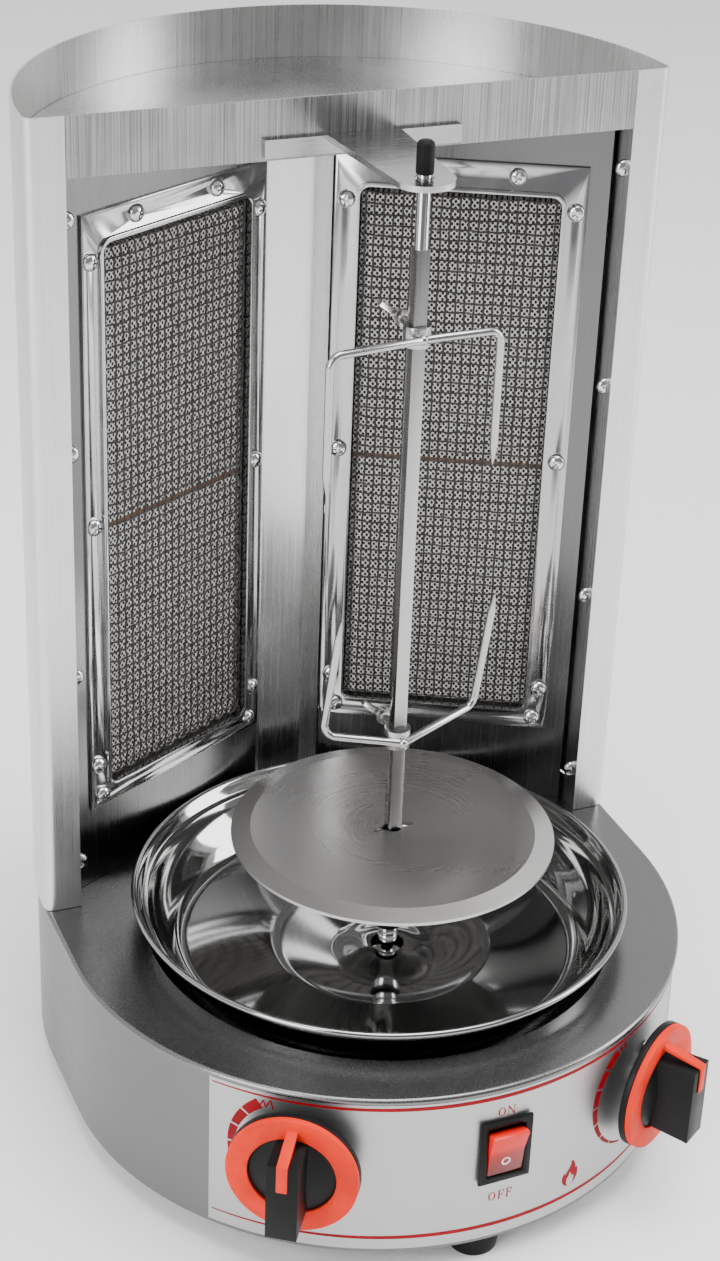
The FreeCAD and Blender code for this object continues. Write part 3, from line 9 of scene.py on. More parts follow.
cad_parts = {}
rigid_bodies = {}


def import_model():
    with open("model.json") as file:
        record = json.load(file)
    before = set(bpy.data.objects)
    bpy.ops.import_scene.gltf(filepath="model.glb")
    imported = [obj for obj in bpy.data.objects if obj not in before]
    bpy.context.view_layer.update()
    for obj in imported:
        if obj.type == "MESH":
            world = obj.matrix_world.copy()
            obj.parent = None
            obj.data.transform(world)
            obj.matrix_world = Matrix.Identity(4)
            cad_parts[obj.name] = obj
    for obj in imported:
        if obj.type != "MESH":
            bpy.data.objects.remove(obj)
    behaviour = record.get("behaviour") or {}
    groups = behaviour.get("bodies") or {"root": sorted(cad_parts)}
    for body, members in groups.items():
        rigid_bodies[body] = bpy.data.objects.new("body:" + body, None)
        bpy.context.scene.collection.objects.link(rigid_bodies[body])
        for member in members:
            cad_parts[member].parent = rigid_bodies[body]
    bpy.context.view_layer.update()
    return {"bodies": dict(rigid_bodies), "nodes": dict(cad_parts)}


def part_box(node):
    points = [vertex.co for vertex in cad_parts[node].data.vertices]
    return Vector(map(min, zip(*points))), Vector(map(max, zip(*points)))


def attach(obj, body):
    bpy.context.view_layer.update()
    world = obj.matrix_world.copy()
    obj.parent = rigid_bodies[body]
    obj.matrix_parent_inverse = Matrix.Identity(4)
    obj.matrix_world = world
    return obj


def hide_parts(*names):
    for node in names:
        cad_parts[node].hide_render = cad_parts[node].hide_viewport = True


# The looks of a small upright gas broiler with a turning spit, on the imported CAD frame.
# Places come from the CAD nodes' boxes.  Lengths are in metres, unless a comment says mm.
# Angles are in degrees.

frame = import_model()

MM = 0.001
WELD = 0.00001  # points of a CAD mesh closer than this are one

# Angles off the front, as in the part's own source.
BURNER_ANGLE = 27.2
LABEL_END = 50.7
KNOB_ANGLE = 34.15
ROCKER_ANGLE = 1.7


def cos(angle):
    return math.cos(math.radians(angle))


def sin(angle):
    return math.sin(math.radians(angle))


def middle(node):
    low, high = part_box(node)
    return (low + high) / 2


def body_of(node):
    parent = frame["nodes"][node].parent
    return next(name for name, empty in frame["bodies"].items() if empty is parent)


# ---- materials ---------------------------------------------------------------------

class Look:
    """A material being made, with short ways to add and join its nodes."""

    def __init__(self, name, colour, metal, rough):
        self.material = bpy.data.materials.new(name)
        self.material.use_nodes = True
        self.tree = self.material.node_tree
        self.shader = self.tree.nodes["Principled BSDF"]
        self.set("Base Color", (*colour, 1))
        self.set("Metallic", metal)
        self.set("Roughness", rough)

    def set(self, name, value):
        self.shader.inputs[name].default_value = value

    def add(self, kind, **settings):
        node = self.tree.nodes.new(kind)
        for name, value in settings.items():
            setattr(node, name, value)
        return node

    def join(self, output, target):
        self.tree.links.new(output, target)

    def math(self, operation, first, second):
        node = self.add("ShaderNodeMath", operation=operation)
        for slot, value in zip(node.inputs, (first, second)):
            if isinstance(value, (int, float)):
                slot.default_value = value
            else:
                self.join(value, slot)
        return node.outputs[0]

    def place(self, scale=(1, 1, 1), shift=(0, 0, 0), turn=0):
        spot = self.add("ShaderNodeTexCoord").outputs["Object"]
        mapping = self.add("ShaderNodeMapping")
        mapping.inputs["Location"].default_value = shift
        mapping.inputs["Rotation"].default_value = (0, 0, math.radians(turn))
        mapping.inputs["Scale"].default_value = scale
        self.join(spot, mapping.inputs["Vector"])
        return mapping.outputs["Vector"]

    def noise(self, vector, scale=1, detail=3):
        node = self.add("ShaderNodeTexNoise")
        node.inputs["Scale"].default_value = scale
        node.inputs["Detail"].default_value = detail
        self.join(vector, node.inputs["Vector"])
        return node.outputs["Fac"]

    def shift(self, value, low, high, start=0.3, end=0.7):
        node = self.add("ShaderNodeMapRange")
        for slot, amount in zip(node.inputs[1:5], (start, end, low, high)):
            slot.default_value = amount
        self.join(value, node.inputs["Value"])
        return node.outputs["Result"]

    def ramp(self, value, stops):
        node = self.add("ShaderNodeValToRGB")
        points = node.color_ramp.elements
        while len(points) < len(stops):
            points.new(0.5)
        for point, (place, colour) in zip(points, stops):
            point.position = place
            point.color = (*colour, 1)
        self.join(value, node.inputs["Fac"])
        return node.outputs["Color"]

    def bump(self, height, distance, strength=0.5):
        node = self.add("ShaderNodeBump")
        node.inputs["Strength"].default_value = strength
        node.inputs["Distance"].default_value = distance
        self.join(height, node.inputs["Height"])
        self.join(node.outputs["Normal"], self.shader.inputs["Normal"])


def tinted(colour, amount):
    return tuple(channel * amount for channel in colour)


# How many times a metre the brush lines repeat, across and along themselves.
FINE = 1400
LONG = 9
UPRIGHT = (FINE, FINE, LONG)
LINE_SHARE = 0.7

# The shares of a noise at which its two end colours are reached.
DARK_END = 0.32
PALE_END = 0.68


def brushed(name, colour, rough, stretch=UPRIGHT, spread=0.07, contrast=0.16, lean=0):
    """Metal with long fine brush lines, soft cloudy patches and uneven gloss."""
    look = Look(name, colour, 1, rough)
    lines = look.noise(look.place(scale=stretch), 1, 5)
    clouds = look.noise(look.place(), 26, 4)
    mixed = look.math("ADD", look.math("MULTIPLY", lines, LINE_SHARE),
                      look.math("MULTIPLY", clouds, 1 - LINE_SHARE))
    stops = [(DARK_END, tinted(colour, 1 - contrast)), (PALE_END, tinted(colour, 1 + contrast / 2))]
    look.join(look.ramp(mixed, stops), look.shader.inputs["Base Color"])
    look.join(look.shift(mixed, rough - spread, rough + spread), look.shader.inputs["Roughness"])
    look.bump(lines, 0.01 * MM, 0.3)
    if lean:
        look.set("Anisotropic", lean)
    return look.material


def polished(name, colour, rough, ripple=0.25):
    """Bright plated or polished metal with faint smears and a slight ripple."""
    look = Look(name, colour, 1, rough)
    smears = look.noise(look.place(), 60, 5)
    stops = [(0.3, tinted(colour, 0.9)), (0.7, colour)]
    look.join(look.ramp(smears, stops), look.shader.inputs["Base Color"])
    look.join(look.shift(smears, rough * 0.6, rough * 1.7), look.shader.inputs["Roughness"])
    look.bump(look.noise(look.place(), 45, 2), 0.3 * MM, ripple)
    return look.material


RINGS_PER_METRE = 700


def turned_metal(name, colour, rough, centre, share=0.5, lean=0.5):
    """Sheet metal turned on a lathe, with fine rings about the middle."""
    look = Look(name, colour, 1, rough)
    spot = look.place(shift=(-centre.x, -centre.y, 0))
    parts = look.add("ShaderNodeSeparateXYZ")
    look.join(spot, parts.inputs[0])
    square = look.math("ADD", look.math("POWER", parts.outputs[0], 2),
                       look.math("POWER", parts.outputs[1], 2))
    radius = look.math("SQRT", square, 0)
    rings = look.add("ShaderNodeTexNoise", noise_dimensions="1D")
    rings.inputs["Scale"].default_value = RINGS_PER_METRE
    rings.inputs["Detail"].default_value = 4
    look.join(radius, rings.inputs["W"])
    clouds = look.noise(look.place(), 12, 1)
    mixed = look.math("ADD", look.math("MULTIPLY", rings.outputs["Fac"], share),
                      look.math("MULTIPLY", clouds, 1 - share))
    stops = [(DARK_END, tinted(colour, 0.95)), (PALE_END, tinted(colour, 1.03))]
    look.join(look.ramp(mixed, stops), look.shader.inputs["Base Color"])
    look.join(look.shift(mixed, rough * 0.85, rough * 1.2), look.shader.inputs["Roughness"])
    look.bump(rings.outputs["Fac"], 0.004 * MM, 0.3 * share)
    if lean:
        look.set("Anisotropic", lean)
        tangent = look.add("ShaderNodeTangent", direction_type="RADIAL", axis="Z")
        look.join(tangent.outputs["Tangent"], look.shader.inputs["Tangent"])
    return look.material


def moulded(name, colour, rough, grit=0.25, scale=900):
    """Moulded plastic or rubber with a fine pebbled skin and rubbed patches."""
    look = Look(name, colour, 0, rough)
    skin = look.noise(look.place(), scale, 3)
    rubbed = look.noise(look.place(), 70, 4)
    stops = [(0.3, tinted(colour, 0.82)), (0.7, tinted(colour, 1.12))]
    look.join(look.ramp(rubbed, stops), look.shader.inputs["Base Color"])
    look.join(look.shift(rubbed, rough - 0.06, rough + 0.1), look.shader.inputs["Roughness"])
    look.bump(skin, 0.08 * MM, grit)
    look.set("Specular IOR Level", 0.14)
    return look.material


HOLE_PITCH_ACROSS = 2.5 * MM
HOLE_PITCH_UP = 3.1 * MM


def ceramic_look():
    """Pale fired clay pierced by a close pattern of small holes, each painted dark as shade."""
    pale = (0.86, 0.84, 0.81)
    look = Look("pierced_ceramic", pale, 0, 0.85)
    spot = look.place(scale=(1 / HOLE_PITCH_ACROSS, 0, 1 / HOLE_PITCH_UP))
    near = None
    for start in (0.0, 0.5):
        moved = look.add("ShaderNodeVectorMath", operation="ADD")
        moved.inputs[1].default_value = (start, 0, start)
        look.join(spot, moved.inputs[0])
        cell = look.add("ShaderNodeVectorMath", operation="FRACTION")
        look.join(moved.outputs[0], cell.inputs[0])
        offset = look.add("ShaderNodeVectorMath", operation="SUBTRACT")
        offset.inputs[1].default_value = (0.5, 0, 0.5)
        look.join(cell.outputs[0], offset.inputs[0])
        size = look.add("ShaderNodeVectorMath", operation="LENGTH")
        look.join(offset.outputs[0], size.inputs[0])
        far = size.outputs["Value"]
        near = far if near is None else look.math("MINIMUM", near, far)
    # noise that makes the edges of the painted hole shade uneven
    hole_shade_wobble = look.noise(look.place(), 55, 4)
    edge = look.math("ADD", near, look.math("MULTIPLY", hole_shade_wobble, 0.05))
    # painted shade: each hole is near black, fading through grey to the pale clay at its rim
    stops = [(0.24, (0.012, 0.011, 0.010)), (0.29, (0.5, 0.48, 0.45)), (0.36, pale)]
    look.join(look.ramp(edge, stops), look.shader.inputs["Base Color"])
    look.bump(look.shift(near, 0, 1, 0.18, 0.32), 0.8 * MM, 0.8)
    return look.material


def painted_shade_red():
    """Clear red plastic of a rocker, darker towards its bottom by painted shade and brighter towards its
    top by painted light, with a faint painted glow.
    """
    look = Look("rocker_red", (0.62, 0.02, 0.02), 0, 0.16)
    low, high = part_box("switch_rocker")
    parts = look.add("ShaderNodeSeparateXYZ")
    look.join(look.place(), parts.inputs[0])
    haze = look.noise(look.place(), 160, 3)
    # painted shade and light: the colour runs from near black at the rocker's bottom to bright red at its
    # top
    painted_shade_level = look.shift(parts.outputs[2], 0, 1, low.z, high.z)
    mixed = look.math("ADD", painted_shade_level, look.math("MULTIPLY", haze, 0.2))
    stops = [(0.1, (0.07, 0.001, 0.001)), (0.55, (0.3, 0.002, 0.002)), (0.75, (0.7, 0.006, 0.004))]
    look.join(look.ramp(mixed, stops), look.shader.inputs["Base Color"])
    look.bump(haze, 0.05 * MM, 0.2)
    look.set("Specular IOR Level", 0.3)
    # a faint painted glow
    look.set("Emission Color", (0.9, 0.0, 0.0, 1))
    look.set("Emission Strength", 0.06)
    return look.material


SPIT = middle("spit_rod")

shell_steel = brushed("shell_steel", (0.66, 0.66, 0.655), 0.30, contrast=0.14, lean=0.35)
rail_steel = brushed("rail_steel", (0.38, 0.38, 0.375), 0.28, contrast=0.55)
panel_steel = brushed("panel_steel", (0.15, 0.15, 0.15), 0.24, contrast=0.08)
strip_steel = brushed("strip_steel", (0.72, 0.72, 0.715), 0.26, contrast=0.08)
bracket_steel = brushed("bracket_steel", (0.5, 0.5, 0.495), 0.24, (90, FINE, FINE))
frame_steel = polished("frame_steel", (0.42, 0.42, 0.42), 0.12, 0.12)
skirt_steel = brushed("skirt_steel", (0.18, 0.18, 0.18), 0.36, (LONG, LONG, FINE), contrast=0.08)
deck_steel = brushed("deck_steel", (0.19, 0.19, 0.19), 0.28, (FINE, FINE, FINE), contrast=0.06)
disc_steel = turned_metal("disc_steel", (0.50, 0.49, 0.48), 0.26, SPIT, share=0.15)
pan_steel = turned_metal("pan_steel", (0.32, 0.32, 0.315), 0.07, middle("drip_pan"), lean=0)
chrome = polished("chrome", (0.62, 0.62, 0.62), 0.07, 0.06)
nickel = polished("nickel", (0.46, 0.45, 0.43), 0.2, 0.15)
bar_steel = brushed("bar_steel", (0.44, 0.44, 0.435), 0.18, contrast=0.1)
hidden_steel = brushed("hidden_steel", (0.32, 0.32, 0.31), 0.42, (200, 200, 200))
brass = brushed("brass", (0.62, 0.46, 0.2), 0.3, (300, 300, 300))
rubber = moulded("rubber", (0.004, 0.004, 0.004), 0.55, 0.5)
black_plastic = moulded("black_plastic", (0.003, 0.003, 0.003), 0.3, 0.25)
charcoal_plastic = moulded("charcoal_plastic", (0.004, 0.004, 0.004), 0.4, 0.3, 1600)
orange_plastic = moulded("orange_plastic", (0.72, 0.022, 0.004), 0.5, 0.12, 1200)
ceramic = ceramic_look()
rocker_red_painted_shade = painted_shade_red()
ink_red = moulded("ink_red", (0.26, 0.001, 0.006), 0.5, 0.1, 2500)
ink_white = moulded("ink_white", (0.82, 0.8, 0.78), 0.4, 0.2, 2500)
label_silver = brushed("label_silver", (0.47, 0.47, 0.47), 0.42, (LONG, LONG, 3000), 0.05, 0.08)
wire_metal = polished("wire_metal", (0.07, 0.066, 0.062), 0.45, 0.4)
joint_clay = moulded("joint_clay", (0.16, 0.10, 0.07), 0.8, 0.6)

NODE_LOOKS = {
    "rear_shell": shell_steel, "top_tray": rail_steel, "spit_bracket": bracket_steel,
    "left_reflector_panel": panel_steel, "right_reflector_panel": panel_steel,
    "left_burner_housing": hidden_steel, "right_burner_housing": hidden_steel,
    "base_skirt": skirt_steel, "base_bottom_plate": hidden_steel, "deck_plate": deck_steel,
    "control_label": label_silver, "meat_disc": disc_steel,
    "foot_screws": chrome, "venturi_tubes": hidden_steel, "gas_injectors": brass,
    "drive_motor": hidden_steel, "motor_bracket": hidden_steel, "shaft_bush": chrome,
    "motor_screws": chrome, "drive_shaft": chrome, "drive_washer": rubber,
    "left_gas_valve": hidden_steel, "right_gas_valve": hidden_steel,
    "left_valve_plunger": chrome, "right_valve_plunger": chrome,
    "left_burner_pipe": brass, "right_burner_pipe": brass,
    "gas_manifold": brass, "gas_inlet": brass, "left_knob_stem": chrome, "right_knob_stem": chrome,
    "valve_eyelets": chrome, "centre_strip": strip_steel,
}


def paint_nodes():
    for node, material in NODE_LOOKS.items():
        for slot in frame["nodes"][node].material_slots:
            slot.link = "OBJECT"
            slot.material = material


# ---- making pieces -----------------------------------------------------------------

def add_piece(name, mesh, material, body, matrix=None, sharp=32):
    piece = bpy.data.objects.new(name, mesh)
    bpy.context.scene.collection.objects.link(piece)
    mesh.materials.clear()
    mesh.materials.append(material)
    mesh.polygons.foreach_set("use_smooth", [True] * len(mesh.polygons))
    mesh.set_sharp_from_angle(angle=math.radians(sharp))
    if matrix is not None:
        piece.matrix_world = matrix
    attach(piece, body)
    return piece


def mesh_from(name, points, faces):
    mesh = bpy.data.meshes.new(name)
    mesh.from_pydata([tuple(point) for point in points], [], faces)
    form = bmesh.new()
    form.from_mesh(mesh)
    bmesh.ops.recalc_face_normals(form, faces=form.faces)
    form.to_mesh(mesh)
    form.free()
    return mesh


def welded_form(node):
    form = bmesh.new()
    form.from_mesh(frame["nodes"][node].data)
    bmesh.ops.remove_doubles(form, verts=form.verts, dist=WELD)
    return form


HARD_EDGE = 32
ROUND_STEPS = 2


def softened(node, material, width):
    """A copy of a CAD node with its hard edges rounded, shown in the node's place."""
    form = welded_form(node)
    bmesh.ops.dissolve_limit(form, angle_limit=math.radians(1), verts=form.verts, edges=form.edges)
    hard = [edge for edge in form.edges
            if len(edge.link_faces) == 2 and edge.calc_face_angle() > math.radians(HARD_EDGE)]
    bmesh.ops.bevel(form, geom=hard, offset=width, segments=ROUND_STEPS, profile=0.5, affect="EDGES",
                    clamp_overlap=True)
    mesh = bpy.data.meshes.new(f"{node}_rounded")
    form.to_mesh(mesh)
    form.free()
    stale = mesh.attributes.get("custom_normal")
    if stale:
        mesh.attributes.remove(stale)
    piece = add_piece(f"{node}_rounded", mesh, material, body_of(node), sharp=40)
    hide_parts(node)


# Nodes shown rounded: the material and the width of the rounding in mm.
SOFT_NODES = [
    ("left_burner_frame", frame_steel, 0.45), ("right_burner_frame", frame_steel, 0.45),
    ("rubber_feet", rubber, 0.8), ("spit_rod", bar_steel, 0.35),
    ("spit_cap", rubber, 0.5), ("upper_fork", bar_steel, 0.3), ("lower_fork", bar_steel, 0.3),
    ("upper_wing_screw", nickel, 0.5), ("lower_wing_screw", nickel, 0.5),
    ("disc_hub", chrome, 0.5), ("drive_coupling", chrome, 0.4), ("cable_gland", black_plastic, 0.6),
    ("left_knob", charcoal_plastic, 0.8), ("right_knob", charcoal_plastic, 0.8),
    ("left_knob_ring", orange_plastic, 0.5), ("right_knob_ring", orange_plastic, 0.5),
    ("switch_bezel", black_plastic, 0.7), ("switch_rocker", rocker_red_painted_shade, 0.6),
]


# ---- burners -----------------------------------------------------------------------

FRAME_SHEET = 1.2 * MM
WIRE = 0.5 * MM  # the wire's radius
CRIMP = 0.42 * MM
WIRES_ACROSS = 21
WIRES_UP = 53
SCREEN_EDGE = 8 * MM
SCREEN_DROP = 2.3 * MM
SCREEN_BULGE = 0.9 * MM
WIRE_SIDES = 6
STEPS_PER_WIRE = 4

# How a wire wanders off its line: how far, how often along itself, and how much later on each next wire.
UPRIGHT_WANDER = (0.18 * MM, 310, 2.1)
LEVEL_WANDER = (0.22 * MM, 260, 1.7)


def burner_matrix(side):
    """The frame of a burner: X along its face, Y to its back, Z up, from its front face."""
    word = "right" if side > 0 else "left"
    low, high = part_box(f"{word}_burner_frame")
    centre = (low + high) / 2
    half_sheet = FRAME_SHEET / 2
    x = centre.x - half_sheet * sin(BURNER_ANGLE) * side
    y = centre.y - half_sheet * cos(BURNER_ANGLE)
    return Matrix.Translation((x, y, 0)) @ Matrix.Rotation(math.radians(-BURNER_ANGLE * side), 4, "Z")


def window_half():
    low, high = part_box("right_burner_mesh")
    return (high.x - low.x) / 2 / cos(BURNER_ANGLE)


def smooth_step(amount):
    amount = min(max(amount, 0), 1)
    return amount * amount * (3 - 2 * amount)


def screen_depth(x, z, half, low, high):
    """How far behind the frame's face the screen lies: bulged in the middle, tucked in at its edges."""
    edge = min(half - abs(x), z - low, high - z)
    return SCREEN_DROP * (1 - smooth_step(edge / SCREEN_EDGE)) - SCREEN_BULGE


def add_wire(points, faces, path, across):
    """One round wire along a path, its rings spanned by across and the depth direction."""
    start = len(points)
    depth = Vector((0, 1, 0))
    for place in path:
        for step in range(WIRE_SIDES):
            turn = 2 * math.pi * step / WIRE_SIDES
            points.append(place + across * math.cos(turn) * WIRE + depth * math.sin(turn) * WIRE)
    for ring in range(len(path) - 1):
        for step in range(WIRE_SIDES):
            here = start + ring * WIRE_SIDES
            after = (step + 1) % WIRE_SIDES
            faces.append((here + step, here + after, here + WIRE_SIDES + after, here + WIRE_SIDES + step))
    last = start + (len(path) - 1) * WIRE_SIDES
    faces.append(tuple(start + step for step in range(WIRE_SIDES)))
    faces.append(tuple(last + step for step in range(WIRE_SIDES)))


def wander(manner, run, number):
    size, rate, delay = manner
    return size * math.sin(run * rate + number * delay)


def woven_screen(side):
    """Crimped wires that pass over and under each other, in the place of the burner's mesh."""
    word = "right" if side > 0 else "left"
    low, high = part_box(f"{word}_burner_mesh")
    half = window_half() - WIRE
    bottom = low.z + WIRE
    top = high.z - WIRE
    pitch_x = 2 * half / WIRES_ACROSS
    pitch_z = (top - bottom) / WIRES_UP
    points = []
    faces = []
    for number in range(WIRES_ACROSS):
        x = -half + pitch_x * (number + 0.5)
        path = []
        for step in range(WIRES_UP * STEPS_PER_WIRE + 1):
            z = bottom + (top - bottom) * step / (WIRES_UP * STEPS_PER_WIRE)
            wave = math.cos(math.pi * (z - bottom) / pitch_z + math.pi * number + math.pi / 2)
            depth = screen_depth(x, z, half, bottom, top)
            path.append(Vector((x + wander(UPRIGHT_WANDER, z, number), depth + CRIMP * wave, z)))
        add_wire(points, faces, path, Vector((1, 0, 0)))
    for number in range(WIRES_UP):
        z = bottom + pitch_z * (number + 0.5)
        path = []
        for step in range(WIRES_ACROSS * STEPS_PER_WIRE + 1):
            x = -half + 2 * half * step / (WIRES_ACROSS * STEPS_PER_WIRE)
            wave = math.cos(math.pi * (x + half) / pitch_x + math.pi * number + math.pi / 2)
            depth = screen_depth(x, z, half, bottom, top)
            path.append(Vector((x, depth - CRIMP * wave, z + wander(LEVEL_WANDER, x, number))))
        add_wire(points, faces, path, Vector((0, 0, 1)))
    mesh = mesh_from(f"{word}_woven_screen", points, faces)
    piece = add_piece(f"{word}_woven_screen", mesh, wire_metal, "housing", burner_matrix(side), 60)
    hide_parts(f"{word}_burner_mesh")


def box_form(low, high, round_off):
    form = bmesh.new()
    bmesh.ops.create_cube(form, size=1)
    size = high - low
    for corner in form.verts:
        corner.co = Vector((corner.co.x * size.x, corner.co.y * size.y, corner.co.z * size.z))
        corner.co += (low + high) / 2
    bmesh.ops.bevel(form, geom=list(form.edges), offset=round_off, segments=2, profile=0.5,
                    affect="EDGES")
    return form


def form_mesh(name, form):
    mesh = bpy.data.meshes.new(name)
    form.to_mesh(mesh)
    form.free()
    return mesh


TILE_FRONT = 3.3 * MM
TILE_DEPTH = 12 * MM
TILE_JOINT = 1.3 * MM
TILE_GAP = 0.5 * MM
TILE_ROUND = 0.4 * MM
CLAY_PROUD = 0.3 * MM


def ceramic_plates(side):
    """Two pierced plates, one above the other, with a clay joint between them."""
    word = "right" if side > 0 else "left"
    low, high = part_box(f"{word}_ceramic_tiles")
    half = window_half() - TILE_GAP
    centre = (low.z + high.z) / 2
    matrix = burner_matrix(side)
    spans = {"lower": (low.z, centre - TILE_JOINT / 2), "upper": (centre + TILE_JOINT / 2, high.z)}
    for name, (start, end) in spans.items():
        form = box_form(Vector((-half, TILE_FRONT, start)), Vector((half, TILE_FRONT + TILE_DEPTH, end)),
                        TILE_ROUND)
        mesh = form_mesh(f"{word}_{name}_plate", form)
        plate = add_piece(f"{word}_{name}_plate", mesh, ceramic, "housing", matrix)
        if name == "lower":
            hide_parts(f"{word}_ceramic_tiles")
    form = box_form(Vector((-half, TILE_FRONT - CLAY_PROUD, centre - TILE_JOINT)),
                    Vector((half, TILE_FRONT + TILE_DEPTH / 2, centre + TILE_JOINT)), TILE_ROUND)
    mesh = form_mesh(f"{word}_clay_joint", form)
    add_piece(f"{word}_clay_joint", mesh, joint_clay, "housing", matrix)


# ---- drip pan ------------------------------------------------------------------------

PAN_TURNS = 128

# The pan's sizes, in mm.
PAN_SHEET = 0.8
BEAD = 1.5
NECK = 7.9
BOSS = 27
BOSS_RISE = 3.6
FLAT_START = 70
RIDGE = 0.5
WALL_BEND = 8
WALL_BULGE = 1.6
SHOULDER_IN = 8
SHOULDER_DOWN = 7.5
# The shoulder's curve, as steps out from the shoulder and down from the rim.
SHOULDER_ROUND = ((0.3, 7.0), (2.4, 6.4), (2.9, 6.0), (4.0, 2.6))

# The pan's wall: where its foot is, as a share of the rim's radius, and how far it leans out.
WALL_FOOT = 0.77
WALL_LEAN = 62
# The low pressed ring in the floor: its rising and falling edges, as shares of the rim's radius.
RIDGE_UP = (0.40, 0.415)
RIDGE_DOWN = (0.45, 0.465)
BOSS_STEPS = 8
BEND_STEPS = 8
WALL_STEPS = 6
BEAD_ANGLES = range(150, -181, -22)
OUTSIDE_SHARE = 0.8  # how much of the sheet the outside stands further out


def pan_section():
    """The pan's section as distance from its middle and height over its underside, in mm."""
    low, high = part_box("drip_pan")
    rim = (high.x - low.x) / 2 / MM
    tall = (high.z - low.z) / MM
    floor = PAN_SHEET
    wall_foot = rim * WALL_FOOT
    shoulder = rim - SHOULDER_IN
    inside = []
    for step in range(BOSS_STEPS + 1):
        share = step / BOSS_STEPS
        inside.append((NECK + (BOSS - NECK) * share, floor + BOSS_RISE * (1 + cos(180 * share)) / 2))
    inside += [(rim * RIDGE_UP[0], floor), (rim * RIDGE_UP[1], floor + RIDGE),
               (rim * RIDGE_DOWN[0], floor + RIDGE), (rim * RIDGE_DOWN[1], floor), (wall_foot, floor)]
    for step in range(1, BEND_STEPS + 1):
        angle = WALL_LEAN * step / BEND_STEPS
        inside.append((wall_foot + WALL_BEND * sin(angle), floor + WALL_BEND * (1 - cos(angle))))
    start = inside[-1]
    top = (shoulder, tall - SHOULDER_DOWN)
    for step in range(1, WALL_STEPS + 1):
        share = step / WALL_STEPS
        bulge = WALL_BULGE * sin(180 * share)
        inside.append((start[0] + (top[0] - start[0]) * share + bulge,
                       start[1] + (top[1] - start[1]) * share - bulge * 0.5))
    inside += [(shoulder + out, tall - down) for out, down in SHOULDER_ROUND]
    outside = [(x + PAN_SHEET * OUTSIDE_SHARE, max(z - PAN_SHEET, 0)) for x, z in reversed(inside)]
    centre = (rim - BEAD, tall - BEAD)
    bead = [(centre[0] + BEAD * cos(angle), centre[1] + BEAD * sin(angle))
            for angle in BEAD_ANGLES]
    return inside + bead + outside


def ring_centre(reach):
    """The boss stands round the spit, and the rim round the pan's own middle; between, the rings drift."""
    share = smooth_step((reach - BOSS) / (FLAT_START - BOSS))
    return SPIT.lerp(middle("drip_pan"), share)


def lathe(name, section, floor, turns):
    """A closed section in mm, turned about the pan's middle with its underside at floor."""
    points = []
    faces = []
    count = len(section)
    for step in range(turns):
        turn = 360 * step / turns
        for reach, height in section:
            centre = ring_centre(reach)
            points.append((centre.x + reach * cos(turn) * MM, centre.y + reach * sin(turn) * MM,
                           floor + height * MM))
    for step in range(turns):
        here = step * count
        there = (step + 1) % turns * count
        for corner in range(count):
            after = (corner + 1) % count
            faces.append((here + corner, there + corner, there + after, here + after))
    return mesh_from(name, points, faces)


def turned_pan():
    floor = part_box("drip_pan")[0].z
    mesh = lathe("turned_pan", pan_section(), floor, PAN_TURNS)
    pan = add_piece("turned_pan", mesh, pan_steel, "pan", sharp=50)
    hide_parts("drip_pan")


# ---- screws ------------------------------------------------------------------------

SCREW_HEAD = 4.2 * MM
SCREW_TALL = 2.4 * MM
SCREW_TURNS = 28
DOME_STEPS = 7
DOME_SQUARE = 0.8  # below 1 makes the dome fuller than a sphere's

# The cross slot, in mm: half its length and width, and its floor and a height above the head.
SLOT_LONG = 2.3
SLOT_WIDE = 0.5
SLOT_FLOOR = 0.7
SLOT_ABOVE = 4
SLOT_ROUND = 0.1

# How each screw's slot is turned, in radians: the first one, and each one more than the last.
FIRST_TURN = 0.3
NEXT_TURN = 0.7


def screw_mesh():
    """A domed screw head with a cross slot, standing on z = 0."""
    points = []
    faces = []
    for ring in range(DOME_STEPS):
        angle = 90 * ring / DOME_STEPS
        for step in range(SCREW_TURNS):
            turn = 360 * step / SCREW_TURNS
            radius = SCREW_HEAD * cos(angle) ** DOME_SQUARE
            points.append((radius * cos(turn), radius * sin(turn), SCREW_TALL * sin(angle)))
    for ring in range(DOME_STEPS - 1):
        for step in range(SCREW_TURNS):
            after = (step + 1) % SCREW_TURNS
            here = ring * SCREW_TURNS
            faces.append((here + step, here + after, here + SCREW_TURNS + after, here + SCREW_TURNS + step))
    faces.append(tuple(range(SCREW_TURNS)))
    faces.append(tuple((DOME_STEPS - 1) * SCREW_TURNS + step for step in range(SCREW_TURNS)))
    head = bpy.data.objects.new("screw_head", mesh_from("screw_head", points, faces))
    bpy.context.scene.collection.objects.link(head)
    for name, size in (("slot_a", (SLOT_LONG, SLOT_WIDE)), ("slot_b", (SLOT_WIDE, SLOT_LONG))):
        reach = Vector((size[0] * MM, size[1] * MM))
        form = box_form(Vector((-reach.x, -reach.y, SLOT_FLOOR * MM)),
                        Vector((reach.x, reach.y, SLOT_ABOVE * MM)), SLOT_ROUND * MM)
        cutter = bpy.data.objects.new(name, form_mesh(name, form))
        bpy.context.scene.collection.objects.link(cutter)
        cut = head.modifiers.new(name, "BOOLEAN")
        cut.operation = "DIFFERENCE"
        cut.object = cutter
    bpy.context.view_layer.update()
    graph = bpy.context.evaluated_depsgraph_get()
    finished = bpy.data.meshes.new_from_object(head.evaluated_get(graph))
    for name in ("slot_a", "slot_b", "screw_head"):
        bpy.data.objects.remove(bpy.data.objects[name])
    return finished


def islands(node):
    """The separate solids of a CAD node, each as a list of its points."""
    form = welded_form(node)
    left = set(form.verts)
    found = []
    while left:
        stack = [left.pop()]
        part = []
        while stack:
            corner = stack.pop()
            part.append(corner.co.copy())
            for edge in corner.link_edges:
                other = edge.other_vert(corner)
                if other in left:
                    left.remove(other)
                    stack.append(other)
        found.append(part)
    form.free()
    return sorted(found, key=lambda part: (round(part[0].z, 4), round(part[0].x, 4), part[0].y))


